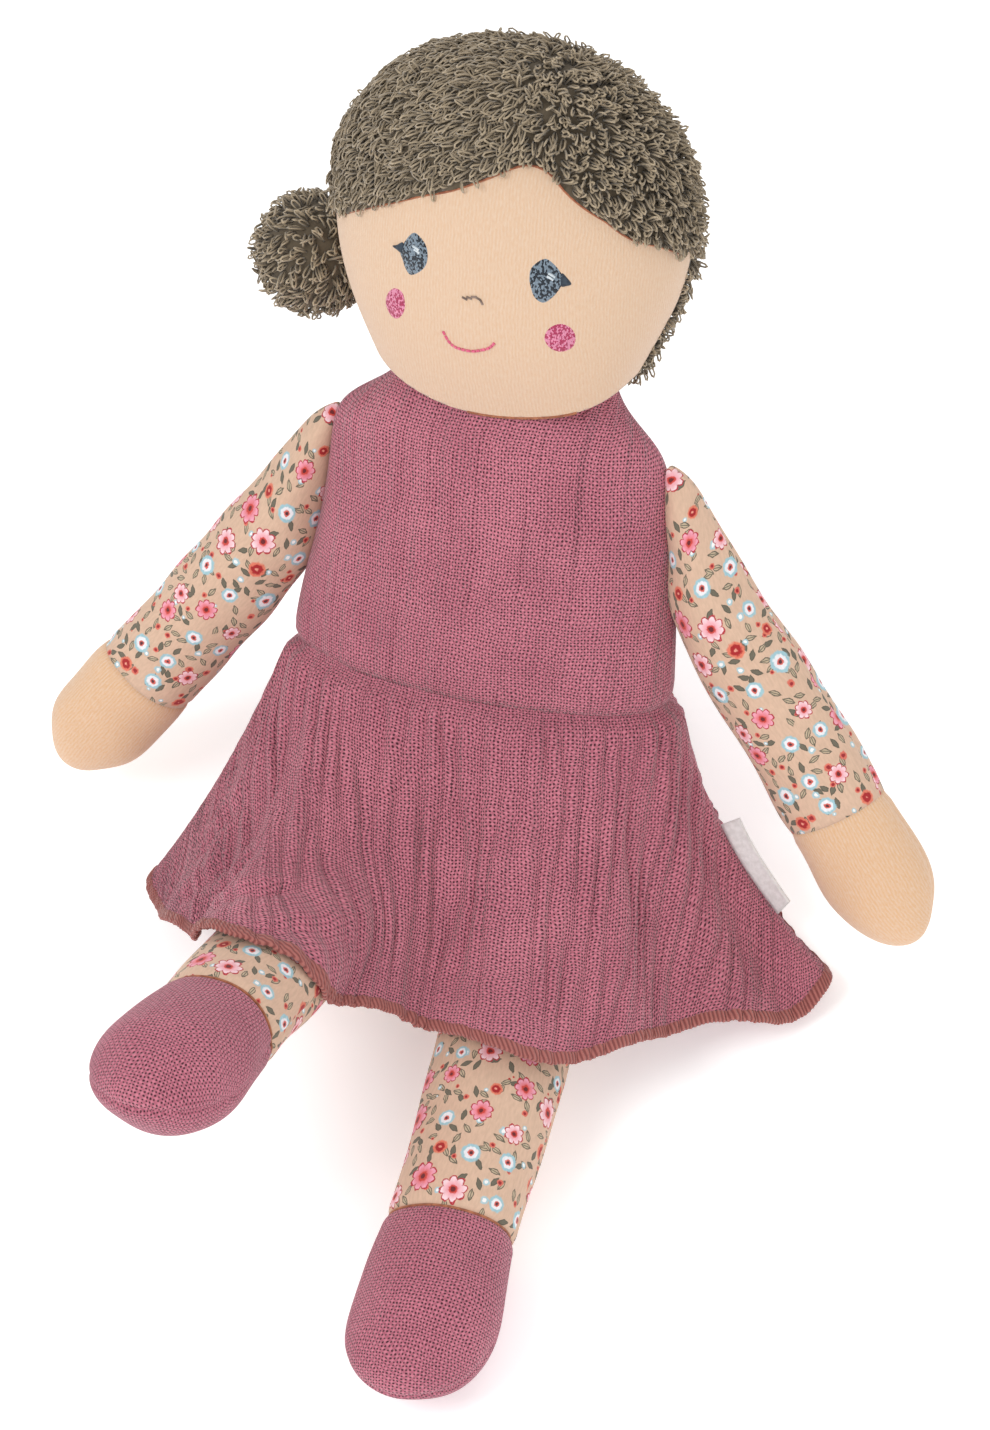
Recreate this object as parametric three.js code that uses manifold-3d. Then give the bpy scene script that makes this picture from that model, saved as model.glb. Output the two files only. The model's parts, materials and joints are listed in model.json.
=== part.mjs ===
// A sitting rag doll: sewn cloth panels over stuffing, with a gathered skirt, terry hair and one bun.
// Units are millimetres. +Z is up, the doll faces -Y and its right side is at -X.
// The origin is the middle of the flat seat, on the plane that the doll sits on.

import * as THREE from 'three';
import { mergeVertices } from 'three/addons/utils/BufferGeometryUtils.js';
import Module from 'manifold-3d';

const wasm = await Module();
wasm.setup();

// Cloth and the room that neighbouring pieces keep

const cloth = 1.1;              // plush, jersey and muslin panels, with their seam allowance
const fit = 0.3;                // between a panel and what it lies on
const leastCavity = 1.2;        // half thickness at which a limb's two layers are sewn flat
const overrun = 5;              // how far a cutting solid passes what it cuts

// How the doll sits, in degrees

const recline = 27;             // the body leans back from upright
const armSpreadRight = 32.5;    // each arm, out from the body's length
const armSpreadLeft = 33.7;
const legRaiseRight = 89.1;     // each leg, forward from straight in line with the body
const legRaiseLeft = 59.7;
const legSpreadRight = 3.8;
const legSpreadLeft = 5.8;

// Body: the length runs from the bottom seam to the neckline

const bodyLength = 132.5;
const bodyHalfWidth = 47.5;
const bodyHalfDepth = 28.3;
const bottomDrop = 26;          // from the bottom seam up to the middle of the stuffed seat
const seatHeight = 22.6;        // that middle above the plane, once the seat is pressed flat
const waistHeight = 63.6;       // the seam of the bodice, the pants and the skirt
const neckDrop = 6.5;           // the axis that the head nods on, below the neckline

// height, half width, half depth in front and behind
const bodyShares = [
  [0, 0.632, 0.141, 0.177],
  [0.015, 0.779, 0.318, 0.6],
  [0.053, 0.905, 0.477, 0.95],
  [0.113, 0.979, 0.601, 1.16],
  [0.204, 1, 0.724, 1.2],
  [0.332, 0.989, 0.83, 1.04],
  [0.48, 0.977, 0.784, 0.784],
  [0.619, 0.947, 0.777, 0.76],
  [0.74, 0.899, 0.717, 0.707],
  [0.845, 0.855, 0.636, 0.636],
  [0.913, 0.825, 0.58, 0.587],
  [0.958, 0.747, 0.551, 0.551],
  [1, 0.6, 0.53, 0.53],
  [1.042, 0.537, 0.477, 0.477],
  [1.079, 0.463, 0.389, 0.389],
];

// Head: a flattened ball, open below where it is sewn to the body

const headHalfHeight = 43.5;
const headHalfWidth = 41.5;
const headHalfDepth = 29.5;
const headRise = 38.5;          // from the neckline up to the middle of the head
const faceSeamBack = 2;         // the side seam, behind the middle of the head
const partingShift = 7;         // the parting, to the doll's left

// height, half width, half depth in front and behind
const headShares = [
  [-1.023, 0.663, 0.373, 0.373],
  [-0.885, 0.675, 0.515, 0.542],
  [-0.713, 0.8, 0.678, 0.746],
  [-0.46, 0.92, 0.868, 0.915],
  [-0.161, 0.988, 0.969, 1.017],
  [0.138, 1, 1, 1.034],
  [0.414, 0.937, 0.959, 0.983],
  [0.644, 0.795, 0.834, 0.847],
  [0.828, 0.59, 0.637, 0.644],
  [0.943, 0.349, 0.39, 0.39],
  [0.995, 0.12, 0.136, 0.136],
];

// the hairline from the doll's right to its left: across, as a share of the head's half width
// from the parting, and up, as a share of its half height
const hairlineShares = [
  [-1.3, -0.15],
  [-0.942, 0.016],
  [-0.722, 0.168],
  [-0.468, 0.306],
  [-0.241, 0.411],
  [-0.091, 0.506],
  [0, 0.549],
  [0.168, 0.508],
  [0.258, 0.444],
  [0.452, 0.336],
  [0.606, 0.251],
  [0.8, 0.17],
  [0.936, 0.103],
  [1.3, -0.1],
];

// Face: embroidery and sewn cheeks, on the face panel

const stitchHeight = 0.7;
const eyeHalfWidth = 3.9;
const eyeHalfHeight = 4.8;
const eyeRightAcross = -16.8;
const eyeLeftAcross = 14.2;
const eyeDrop = 0.9;            // below the middle of the head
const cheekRadius = 3.6;
const cheekRightAcross = -21.5;
const cheekLeftAcross = 17.5;
const cheekDrop = 14.3;
const noseHalfWidth = 2.2;
const noseHalfHeight = 0.9;
const noseAcross = -1.8;
const noseDrop = 8.2;
const mouthAcross = -2.6;
const mouthDrop = 12;           // the middle of the smile's circle
const mouthRadius = 8.3;
const mouthHalfAngle = 46;
const mouthThread = 1.4;

// a rounded almond with its tip up and a lash at the outer side: across and up
const eyeShares = [
  [0, 1.05],
  [0.62, 0.62],
  [0.96, 0.12],
  [1.5, 0.2],
  [0.98, -0.25],
  [0.62, -0.8],
  [0, -1],
  [-0.62, -0.8],
  [-0.95, -0.2],
  [-0.7, 0.45],
];

// Bun: a small stuffed terry ball, gathered to a neck on the doll's right

const bunReach = 27;
const bunRadius = 13.2;
const bunBack = 10;             // its neck behind the middle of the head
const bunDrop = 12;             // and below it
const bunSlope = 14;            // degrees that it hangs below square

// reach, half width
const bunShares = [
  [0.03, 0.12],
  [0.06, 0.28],
  [0.11, 0.5],
  [0.2, 0.76],
  [0.36, 0.95],
  [0.55, 1],
  [0.75, 0.9],
  [0.9, 0.62],
  [0.98, 0.27],
  [1, 0.08],
];

// Arms: lens-shaped at the shoulder, where they are sewn flat into the side seam

const armLength = 118;
const armHalfWidth = 13.2;
const armHalfDepth = 11;
const shoulderHeight = 113.7;
const shoulderEase = 0.5;       // between the side seam and the body, so that the arm can swing
const shoulderSeamShare = 0.12; // half the sewn length of the side seam, of the body's length
const cuffAlong = 83;           // the seam of sleeve and hand, from the shoulder

// along, sideways shift, half width, half depth, and how sharply the edge is drawn flat
const armShares = [
  [-0.089, 0.455, 0.068, 0.1, 1],
  [-0.059, 0.492, 0.228, 0.22, 1.8],
  [-0.017, 0.497, 0.412, 0.42, 2.2],
  [0.042, 0.406, 0.579, 0.64, 2.2],
  [0.102, 0.293, 0.715, 0.8, 2],
  [0.169, 0.156, 0.866, 0.92, 1.7],
  [0.237, 0.045, 0.962, 0.982, 1.3],
  [0.322, 0, 1, 1, 1.05],
  [0.508, 0, 0.985, 0.982, 1],
  [0.695, 0, 0.939, 0.927, 1],
  [0.831, 0, 1, 0.964, 1],
  [0.915, 0, 0.909, 0.855, 1],
  [0.966, 0, 0.644, 0.6, 1],
  [0.992, 0, 0.379, 0.364, 1],
  [1, 0, 0.136, 0.136, 1],
];

// Legs: sewn flat into the body's bottom seam, and ending in a round soft shoe

const legLength = 129;
const legHalfWidth = 18;        // at the shoe, the widest place
const legHalfDepth = 14;
const hipAcross = 19.8;
const hipEase = 1.2;            // from the body's skin out to the seam that the leg swings on
const hipHeight = 14.6;
const ankleAlong = 87;          // the seam of legging and shoe, from the hip

// along, half width, half depth, and how sharply the edge is drawn flat
const legShares = [
  [-0.004, 0.75, 0.045, 1.6],
  [0.039, 0.806, 0.18, 1.5],
  [0.093, 0.861, 0.46, 1.3],
  [0.186, 0.889, 0.82, 1.1],
  [0.349, 0.878, 0.95, 1],
  [0.527, 0.811, 0.886, 1],
  [0.674, 0.778, 0.857, 1],
  [0.736, 0.878, 0.914, 1],
  [0.822, 1, 1, 1],
  [0.899, 1, 1, 1],
  [0.953, 0.861, 0.857, 1],
  [0.984, 0.556, 0.571, 1],
  [1, 0.167, 0.179, 1],
];

// Skirt: two gathered panels of thin muslin from the waist to an overlocked hem

const skirtLength = 77;
const muslin = 0.8;
const hemDepth = 2.9;
const hemThread = 1.5;
const skirtEase = 1.2;          // between the pants and the middle of the cloth at the waist
const foldDepth = 2.2;
const foldsPerPanel = 7;
const frontSag = 16;
const backSag = 14;
const legRoom = 3.3;            // between a leg and the middle of the cloth over it
const floorRoom = 0.5;          // cloth that lies beside the seat keeps this much above the plane
const tagLength = 26;
const tagDepth = 8;
const tagCloth = 0.6;
const tagDownShare = 0.68;      // the tag's middle, down the side seam

// where the hem lies, as shares of the skirt's length from the middle of the seat: from the
// doll's left side seam round the front, over both legs, to its right side seam and the back
const hemShares = [
  [1.205, -0.215, 0.065],
  [1.081, -0.41, 0.104],
  [0.866, -0.543, 0.182],
  [0.677, -0.793, 0.312],
  [0.446, -0.95, 0.442],
  [0.167, -0.893, 0.416],
  [-0.072, -0.99, 0.571],
  [-0.33, -1.01, 0.831],
  [-0.575, -0.883, 0.597],
  [-0.804, -0.682, 0.403],
  [-0.965, -0.37, 0.169],
  [-0.93, 0.06, 0.045],
  [-0.84, 0.46, 0.029],
  [-0.58, 0.84, 0.029],
  [-0.156, 1.065, 0.029],
  [0.29, 0.98, 0.04],
  [0.7, 0.5, 0.04],
  [1.1, 0.12, 0.04],
];
const frontPoints = 10;         // the hem's points that the front panel spans

// Facets

const bodySides = 24;
const headSides = 26;
const limbSides = 16;
const bunSides = 12;
const neckSides = 48;
const patchSteps = 12;
const skirtColumns = 35;
const skirtRows = 8;
const tagSteps = 5;

// Finishes

const finish = (color, roughness) => new THREE.MeshStandardMaterial({ color, roughness, metalness: 0 });
const muslinRose = finish(0xb06a80, 0.95);
const jerseyPeach = finish(0xefc6a2, 0.95);
const velourPeach = finish(0xecc9ad, 0.9);
const velourOrange = finish(0xe5ad86, 0.9);
const terryTaupe = finish(0x8f8175, 1);
const fibre = finish(0xf2efe8, 1);
const threadNavy = finish(0x3b4152, 0.6);
const threadGrey = finish(0x8a6f62, 0.7);
const threadCoral = finish(0xcf6f62, 0.7);
const cheekPink = finish(0xd9587f, 0.9);
const satinWhite = finish(0xdcd8d6, 0.5);

const radians = THREE.MathUtils.degToRad;

// One closed body over rings of points, each ring seen anticlockwise from the far end.
function closedLoft(rings) {
  const sides = rings[0].length;
  const middle = ring => ring.reduce((sum, p) => sum.add(p), new THREE.Vector3()).divideScalar(sides);
  const points = [...rings.flat(), middle(rings[0]), middle(rings[rings.length - 1])];
  const start = points.length - 2;
  const end = points.length - 1;
  const faces = [];
  for (let i = 0; i < sides; i++) {
    const next = (i + 1) % sides;
    faces.push(start, next, i);
    for (let ring = 0; ring < rings.length - 1; ring++) {
      const low = ring * sides;
      const high = low + sides;
      faces.push(low + i, low + next, high + next, low + i, high + next, high + i);
    }
    const last = (rings.length - 1) * sides;
    faces.push(last + i, last + next, end);
  }
  const geometry = new THREE.BufferGeometry().setFromPoints(points);
  geometry.setIndex(faces);
  return geometry;
}

// A stuffed form along Z, drawn in on all sides by an inset. Its rows hold, in real sizes,
// the height, sideways shift, half width, half depth in front and behind, and the edge's pinch.
function stuffedForm(rows, sides, inset = 0) {
  const thick = row => Math.min(row.halfWidth, row.front, row.back);
  const kept = inset > 0 ? rows.filter(row => thick(row) > inset + leastCavity) : rows;
  const low = kept[0].height;
  const high = kept[kept.length - 1].height;
  const half = (high - low) / 2;
  const rings = kept.map(row => {
    const height = low + half + (row.height - low - half) * (half - inset) / half;
    const width = row.halfWidth - inset;
    return Array.from({ length: sides }, (_, i) => {
      const angle = 2 * Math.PI * i / sides;
      const sine = Math.sin(angle);
      const depth = (sine < 0 ? row.front : row.back) - inset;
      const pinched = Math.sign(sine) * Math.abs(sine) ** row.pinch;
      return new THREE.Vector3(row.shift + width * Math.cos(angle), depth * pinched, height);
    });
  });
  return closedLoft(rings);
}

// Booleans on closed meshes

function toSolid(geometry) {
  const bare = geometry.clone();
  for (const name of Object.keys(bare.attributes)) {
    if (name !== 'position') {
      bare.deleteAttribute(name);
    }
  }
  const merged = mergeVertices(bare);
  return new wasm.Manifold(new wasm.Mesh({
    numProp: 3,
    vertProperties: new Float32Array(merged.attributes.position.array),
    triVerts: new Uint32Array(merged.index.array),
  }));
}

function toGeometry(solid) {
  const mesh = solid.getMesh();
  const geometry = new THREE.BufferGeometry();
  geometry.setAttribute('position', new THREE.BufferAttribute(mesh.vertProperties, mesh.numProp));
  geometry.setIndex(new THREE.BufferAttribute(mesh.triVerts, 1));
  return geometry;
}

// A block between two corners, to cut with.
function block(low, high) {
  const size = new THREE.Vector3().subVectors(high, low);
  const geometry = new THREE.BoxGeometry(size.x, size.y, size.z);
  const centre = new THREE.Vector3().addVectors(low, high).multiplyScalar(1 / 2);
  return toSolid(geometry.translate(centre.x, centre.y, centre.z));
}

// Half of the space near a piece: the side of a plane across one axis, kept back from it.
function side(axis, place, sign, reach) {
  const low = new THREE.Vector3(-reach, -reach, -reach);
  const high = new THREE.Vector3(reach, reach, reach);
  (sign > 0 ? low : high)[axis] = place + sign * fit / 2;
  return block(low, high);
}

// An outline in X and Z, as a solid that runs from the face's front into the head.
function frontPrism(points, depth) {
  const shape = new THREE.Shape(points.map(p => new THREE.Vector2(p.x, p.y)));
  const geometry = new THREE.ExtrudeGeometry(shape, { depth, bevelEnabled: false });
  return toSolid(geometry.rotateX(Math.PI / 2));
}

function smoothOutline(points, steps) {
  const curve = new THREE.SplineCurve([...points, points[0]]);
  return curve.getPoints(steps).slice(0, -1);
}

function pieceMesh(name, solid, material) {
  const mesh = new THREE.Mesh(toGeometry(solid), material);
  mesh.name = name;
  return mesh;
}

const doll = new THREE.Group();

const bodyRows = bodyShares.map(([height, halfWidth, front, back]) => ({
  height: height * bodyLength,
  shift: 0,
  halfWidth: halfWidth * bodyHalfWidth,
  front: front * bodyHalfDepth,
  back: back * bodyHalfDepth,
  pinch: 1,
}));

// The body's half width and depths at any height, which the seams on it follow.
function bodyAt(height) {
  const above = bodyRows.findIndex(row => row.height > height);
  const [low, high] = [bodyRows[above - 1], bodyRows[above]];
  const share = (height - low.height) / (high.height - low.height);
  const between = key => THREE.MathUtils.lerp(low[key], high[key], share);
  return { halfWidth: between('halfWidth'), front: between('front'), back: between('back') };
}

// Frames: the body leans back about the middle of its seat, and carries the neck and hips

const bodyFrame = new THREE.Group();
bodyFrame.rotation.x = -radians(recline);
bodyFrame.position.copy(
  new THREE.Vector3(0, 0, -bottomDrop).applyAxisAngle(new THREE.Vector3(1, 0, 0), -radians(recline)),
);
bodyFrame.position.z += seatHeight;
doll.add(bodyFrame);

function frameAt(x, y, z) {
  const frame = new THREE.Group();
  frame.position.set(x, y, z);
  bodyFrame.add(frame);
  return frame;
}

const neckHeight = bodyLength - neckDrop;
const neckRadius = Math.hypot(neckDrop, bodyAt(bodyLength).front);
const headFrame = frameAt(0, 0, neckHeight);
const headMiddle = neckDrop + headRise;

// The arms are sewn along the body's side seam, which leans in towards the shoulder.
const seamHalf = shoulderSeamShare * bodyLength;
const seamLow = bodyAt(shoulderHeight - 2 * seamHalf).halfWidth;
const shoulderAcross = bodyAt(shoulderHeight).halfWidth + shoulderEase;
const seamLean = Math.atan((seamLow - bodyAt(shoulderHeight).halfWidth) / (2 * seamHalf));
const hipForward = bodyAt(hipHeight).front + hipEase;

const limbFrames = [-1, 1].map(hand => {
  const arm = frameAt(hand * shoulderAcross, 0, shoulderHeight);
  arm.rotation.y = -hand * radians(hand < 0 ? armSpreadRight : armSpreadLeft);
  const hip = frameAt(hand * hipAcross, -hipForward, hipHeight);
  hip.rotation.x = -radians(hand < 0 ? legRaiseRight : legRaiseLeft);
  const leg = new THREE.Group();
  leg.rotation.y = -hand * radians(hand < 0 ? legSpreadRight : legSpreadLeft);
  hip.add(leg);
  return { hand, word: hand < 0 ? 'right' : 'left', arm, leg };
});

doll.updateMatrixWorld(true);

// The space under the plane that the doll sits on, in a piece's own frame
function floorBlock(frame) {
  const reach = 2 * (bodyLength + legLength);
  const slab = new THREE.BoxGeometry(reach, reach, reach).translate(0, 0, -reach / 2);
  return toSolid(slab.applyMatrix4(frame.matrixWorld.clone().invert()));
}

// Body

const bodyReach = bodyLength + overrun;

// A drum about the axis that the head nods on
function neckDrum(radius, height) {
  const length = 2 * bodyHalfWidth + overrun;
  const drum = new THREE.CylinderGeometry(radius, radius, length, neckSides);
  return toSolid(drum.rotateZ(Math.PI / 2).translate(0, 0, height));
}

function bodySolid(inset) {
  const below = side('z', neckHeight, -1, bodyReach);
  const top = neckDrum(neckRadius - fit / 2 - inset, neckHeight);
  return toSolid(stuffedForm(bodyRows, bodySides, inset)).intersect(below.add(top));
}

// The inner layers keep their distance from the flat seat, so each is cut by a raised floor.
function raised(solid, frame, lift) {
  const raisedFrame = frame.clone(false);
  raisedFrame.matrixWorld = frame.matrixWorld.clone().premultiply(
    new THREE.Matrix4().makeTranslation(0, 0, -lift),
  );
  return solid.subtract(floorBlock(raisedFrame));
}

const bodyOuter = raised(bodySolid(0), bodyFrame, 0);
const bodyInner = raised(bodySolid(cloth), bodyFrame, cloth);
const bodySkin = bodyOuter.subtract(bodyInner);
const bodyCore = raised(bodySolid(cloth + fit), bodyFrame, cloth + fit);

bodyFrame.add(pieceMesh('torso_stuffing', bodyCore, fibre));
for (const [half, sign] of [['front', -1], ['back', 1]]) {
  const panel = bodySkin.intersect(side('y', 0, sign, bodyReach));
  const bodice = panel.intersect(side('z', waistHeight, 1, bodyReach));
  const pants = panel.intersect(side('z', waistHeight, -1, bodyReach));
  bodyFrame.add(pieceMesh(`bodice_${half}`, bodice, muslinRose));
  bodyFrame.add(pieceMesh(`pants_${half}`, pants, jerseyPeach));
}

// Head, in the neck's frame

const headReach = headMiddle + headHalfHeight + overrun;

const headRows = headShares.map(([height, halfWidth, front, back]) => ({
  height: headMiddle + height * headHalfHeight,
  shift: 0,
  halfWidth: halfWidth * headHalfWidth,
  front: front * headHalfDepth,
  back: back * headHalfDepth,
  pinch: 1,
}));

function headSolid(inset) {
  const socket = neckDrum(neckRadius + fit / 2 + Math.max(inset, 0), 0);
  return toSolid(stuffedForm(headRows, headSides, inset)).subtract(socket);
}

const headSkin = headSolid(0).subtract(headSolid(cloth));

// all that lies above the hairline, kept clear of it by a lift
function hairSpace(lift) {
  const line = new THREE.SplineCurve(hairlineShares.map(([across, up]) => new THREE.Vector2(
    partingShift * (1 - Math.min(Math.abs(across), 1)) + across * headHalfWidth,
    headMiddle + up * headHalfHeight + lift,
  )));
  const points = line.getPoints(2 * patchSteps);
  const wide = 2 * headHalfWidth;
  points.push(new THREE.Vector2(wide, headReach), new THREE.Vector2(-wide, headReach));
  return frontPrism(points, headReach);
}

const frontSkin = headSkin.intersect(side('y', faceSeamBack, -1, headReach));
headFrame.add(pieceMesh('face_panel', frontSkin.subtract(hairSpace(-fit / 2)), velourPeach));
headFrame.add(pieceMesh('hair_front', frontSkin.intersect(hairSpace(fit / 2)), terryTaupe));
const backSkin = headSkin.intersect(side('y', faceSeamBack, 1, headReach));
headFrame.add(pieceMesh('hair_back', backSkin, terryTaupe));
headFrame.add(pieceMesh('head_stuffing', headSolid(cloth + fit), fibre));

// The layer just outside the face panel, which sewn details are cut from
const detailFloor = toSolid(stuffedForm(headRows, headSides, 0));

function grownForm(growth) {
  const rows = headRows.map(row => ({
    ...row,
    halfWidth: row.halfWidth + growth,
    front: row.front + growth,
    back: row.back + growth,
  }));
  return toSolid(stuffedForm(rows, headSides));
}

const faceLayer = grownForm(fit + stitchHeight).subtract(grownForm(fit)).subtract(detailFloor);

function faceDetail(name, outline, material) {
  const detail = faceLayer.intersect(frontPrism(outline, headReach));
  headFrame.add(pieceMesh(name, detail, material));
}

function ovalOutline(across, drop, halfWidth, halfHeight) {
  return Array.from({ length: patchSteps }, (_, i) => {
    const angle = 2 * Math.PI * i / patchSteps;
    return new THREE.Vector2(
      across + halfWidth * Math.cos(angle),
      headMiddle - drop + halfHeight * Math.sin(angle),
    );
  });
}

for (const [word, hand, across] of [['right', -1, eyeRightAcross], ['left', 1, eyeLeftAcross]]) {
  const points = eyeShares.map(([x, y]) => new THREE.Vector2(
    across + hand * x * eyeHalfWidth,
    headMiddle - eyeDrop + y * eyeHalfHeight,
  ));
  const outline = smoothOutline(points, 2 * patchSteps);
  faceDetail(`eye_${word}`, hand < 0 ? outline.reverse() : outline, threadNavy);
}
faceDetail('cheek_right', ovalOutline(cheekRightAcross, cheekDrop, cheekRadius, cheekRadius), cheekPink);
faceDetail('cheek_left', ovalOutline(cheekLeftAcross, cheekDrop, cheekRadius, cheekRadius), cheekPink);
faceDetail('nose_stitch', ovalOutline(noseAcross, noseDrop, noseHalfWidth, noseHalfHeight), threadGrey);

// the smile: a band of thread along an arc
function smileEdge(radius, backwards) {
  return Array.from({ length: patchSteps + 1 }, (_, i) => {
    const share = backwards ? 1 - i / patchSteps : i / patchSteps;
    const angle = radians(mouthHalfAngle) * (2 * share - 1);
    return new THREE.Vector2(
      mouthAcross + radius * Math.sin(angle),
      headMiddle - mouthDrop - radius * Math.cos(angle),
    );
  });
}
const smile = [
  ...smileEdge(mouthRadius + mouthThread / 2, false),
  ...smileEdge(mouthRadius - mouthThread / 2, true),
];
faceDetail('mouth_stitch', smile, threadCoral);

// Bun, reaching out along its own Z from the side of the head

function ellipseReach(drop, back) {
  const deep = 1 - (drop / headHalfHeight) ** 2 - (back / headHalfDepth) ** 2;
  return headHalfWidth * Math.sqrt(deep);
}

const bunFrame = new THREE.Group();
bunFrame.position.set(-ellipseReach(bunDrop, bunBack) - cloth, bunBack, headMiddle - bunDrop);
bunFrame.rotation.y = -Math.PI / 2 - radians(bunSlope);
headFrame.add(bunFrame);

const bunRows = bunShares.map(([reach, halfWidth]) => ({
  height: reach * bunReach,
  shift: 0,
  halfWidth: halfWidth * bunRadius,
  front: halfWidth * bunRadius,
  back: halfWidth * bunRadius,
  pinch: 1,
}));
const bunOuter = toSolid(stuffedForm(bunRows, bunSides));
const bunCavity = toSolid(stuffedForm(bunRows, bunSides, cloth));
const bunThroat = new THREE.CylinderGeometry(cloth, cloth, bunReach, bunSides).rotateX(Math.PI / 2);
bunFrame.add(pieceMesh('bun_cover', bunOuter.subtract(bunCavity).subtract(toSolid(bunThroat)), terryTaupe));
bunFrame.add(pieceMesh('bun_stuffing', toSolid(stuffedForm(bunRows, bunSides, cloth + fit)), fibre));

// Arms and legs, hanging down from their seams in their own frames

function limbRows(shares, length, halfWidth, halfDepth, hand) {
  return shares.map(([along, shift, width, depth, pinch]) => ({
    height: -along * length,
    shift: hand * shift * halfWidth,
    halfWidth: width * halfWidth,
    front: depth * halfDepth,
    back: depth * halfDepth,
    pinch,
  })).reverse();
}

// All that lies inside the side seam's plane, in the arm's frame, so that the arm stops at it.
function insideSeam(frame, hand, inset) {
  const reach = 2 * armLength;
  const slab = new THREE.BoxGeometry(reach, reach, reach).translate(-hand * (reach / 2 - inset), 0, 0);
  slab.rotateY(-hand * seamLean).rotateY(-frame.rotation.y);
  return toSolid(slab);
}

function addLimb(frame, rows, seamAlong, reach, upper, lower, coreName, cutAt) {
  const solidAt = inset => {
    const form = raised(toSolid(stuffedForm(rows, limbSides, inset)), frame, inset);
    return cutAt ? form.subtract(cutAt(inset)) : form;
  };
  const skin = solidAt(0).subtract(solidAt(cloth));
  frame.add(pieceMesh(upper.name, skin.intersect(side('z', -seamAlong, 1, reach)), upper.material));
  frame.add(pieceMesh(lower.name, skin.intersect(side('z', -seamAlong, -1, reach)), lower.material));
  frame.add(pieceMesh(coreName, solidAt(cloth + fit), fibre));
}

for (const { hand, word, arm, leg } of limbFrames) {
  addLimb(
    arm,
    limbRows(armShares, armLength, armHalfWidth, armHalfDepth, hand),
    cuffAlong,
    armLength + overrun,
    { name: `sleeve_${word}`, material: jerseyPeach },
    { name: `hand_${word}`, material: velourOrange },
    `arm_stuffing_${word}`,
    inset => insideSeam(arm, hand, inset),
  );
  addLimb(
    leg,
    limbRows(legShares.map(([along, ...rest]) => [along, 0, ...rest]), legLength, legHalfWidth, legHalfDepth, hand),
    ankleAlong,
    legLength + overrun,
    { name: `legging_${word}`, material: jerseyPeach },
    { name: `shoe_${word}`, material: muslinRose },
    `leg_stuffing_${word}`,
    null,
  );
}

// Skirt: a curved sheet from the waist seam to the hem, lying over the legs

const hemCurve = new THREE.CatmullRomCurve3(
  hemShares.map(([x, y, z]) => new THREE.Vector3(x, y, z).multiplyScalar(skirtLength)),
  true,
);

const waistHalfWidth = bodyAt(waistHeight).halfWidth + skirtEase;
const waistHalfDepth = bodyAt(waistHeight).front + skirtEase;

// The sheet's bare place: around runs 0 to 1 once round from the doll's left side seam over the
// front, and down runs 0 to 1 from the waist to the end of the hem.
const frontShare = frontPoints / hemShares.length;
function turnAt(around) {
  return around <= frontShare
    ? around / frontShare / 2
    : 1 / 2 + (around - frontShare) / (1 - frontShare) / 2;
}

function bareSheet(around, down) {
  const angle = -2 * Math.PI * turnAt(around);
  const waist = new THREE.Vector3(
    waistHalfWidth * Math.cos(angle),
    waistHalfDepth * Math.sin(angle),
    waistHeight - fit - muslin,
  ).applyMatrix4(bodyFrame.matrixWorld);
  const hem = hemCurve.getPoint(around);
  const backness = (1 + Math.sin(angle)) / 2;
  const sag = THREE.MathUtils.lerp(frontSag, backSag, backness);
  const bend = new THREE.Vector3().lerpVectors(waist, hem, 2 / 5);
  bend.z = (waist.z + hem.z) / 2 - sag;
  return new THREE.QuadraticBezierCurve3(waist, bend, hem).getPoint(down);
}

function sheetNormal(around, down) {
  const step = 1 / (skirtColumns * skirtRows);
  const along = bareSheet((around + step) % 1, down).sub(bareSheet((around - step + 1) % 1, down));
  const fall = bareSheet(around, Math.min(down + step, 1)).sub(bareSheet(around, Math.max(down - step, 0)));
  return fall.cross(along).normalize();
}

// Lifts a point of the sheet off a leg, in the leg's own frame
function clearOfLeg(point, leg) {
  const local = point.clone().applyMatrix4(leg.matrixWorld.clone().invert());
  const wide = legHalfWidth * legShares[3][1] + legRoom;
  const deep = legHalfDepth * legShares[3][2] + legRoom;
  const reach = Math.hypot(local.x / wide, local.y / deep);
  if (reach < 1 && local.z < 0) {
    const lift = 1 / Math.max(reach, 1 / limbSides);
    local.x *= lift;
    local.y *= lift;
  }
  return local.applyMatrix4(leg.matrixWorld);
}

function sheetPoint(around, down) {
  const fold = foldDepth * down * Math.cos(4 * Math.PI * foldsPerPanel * turnAt(around));
  let point = bareSheet(around, down).addScaledVector(sheetNormal(around, down), fold);
  for (const { leg } of limbFrames) {
    point = clearOfLeg(point, leg);
  }
  point.z = Math.max(point.z, floorRoom + hemThread / 2);
  return point;
}

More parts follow.
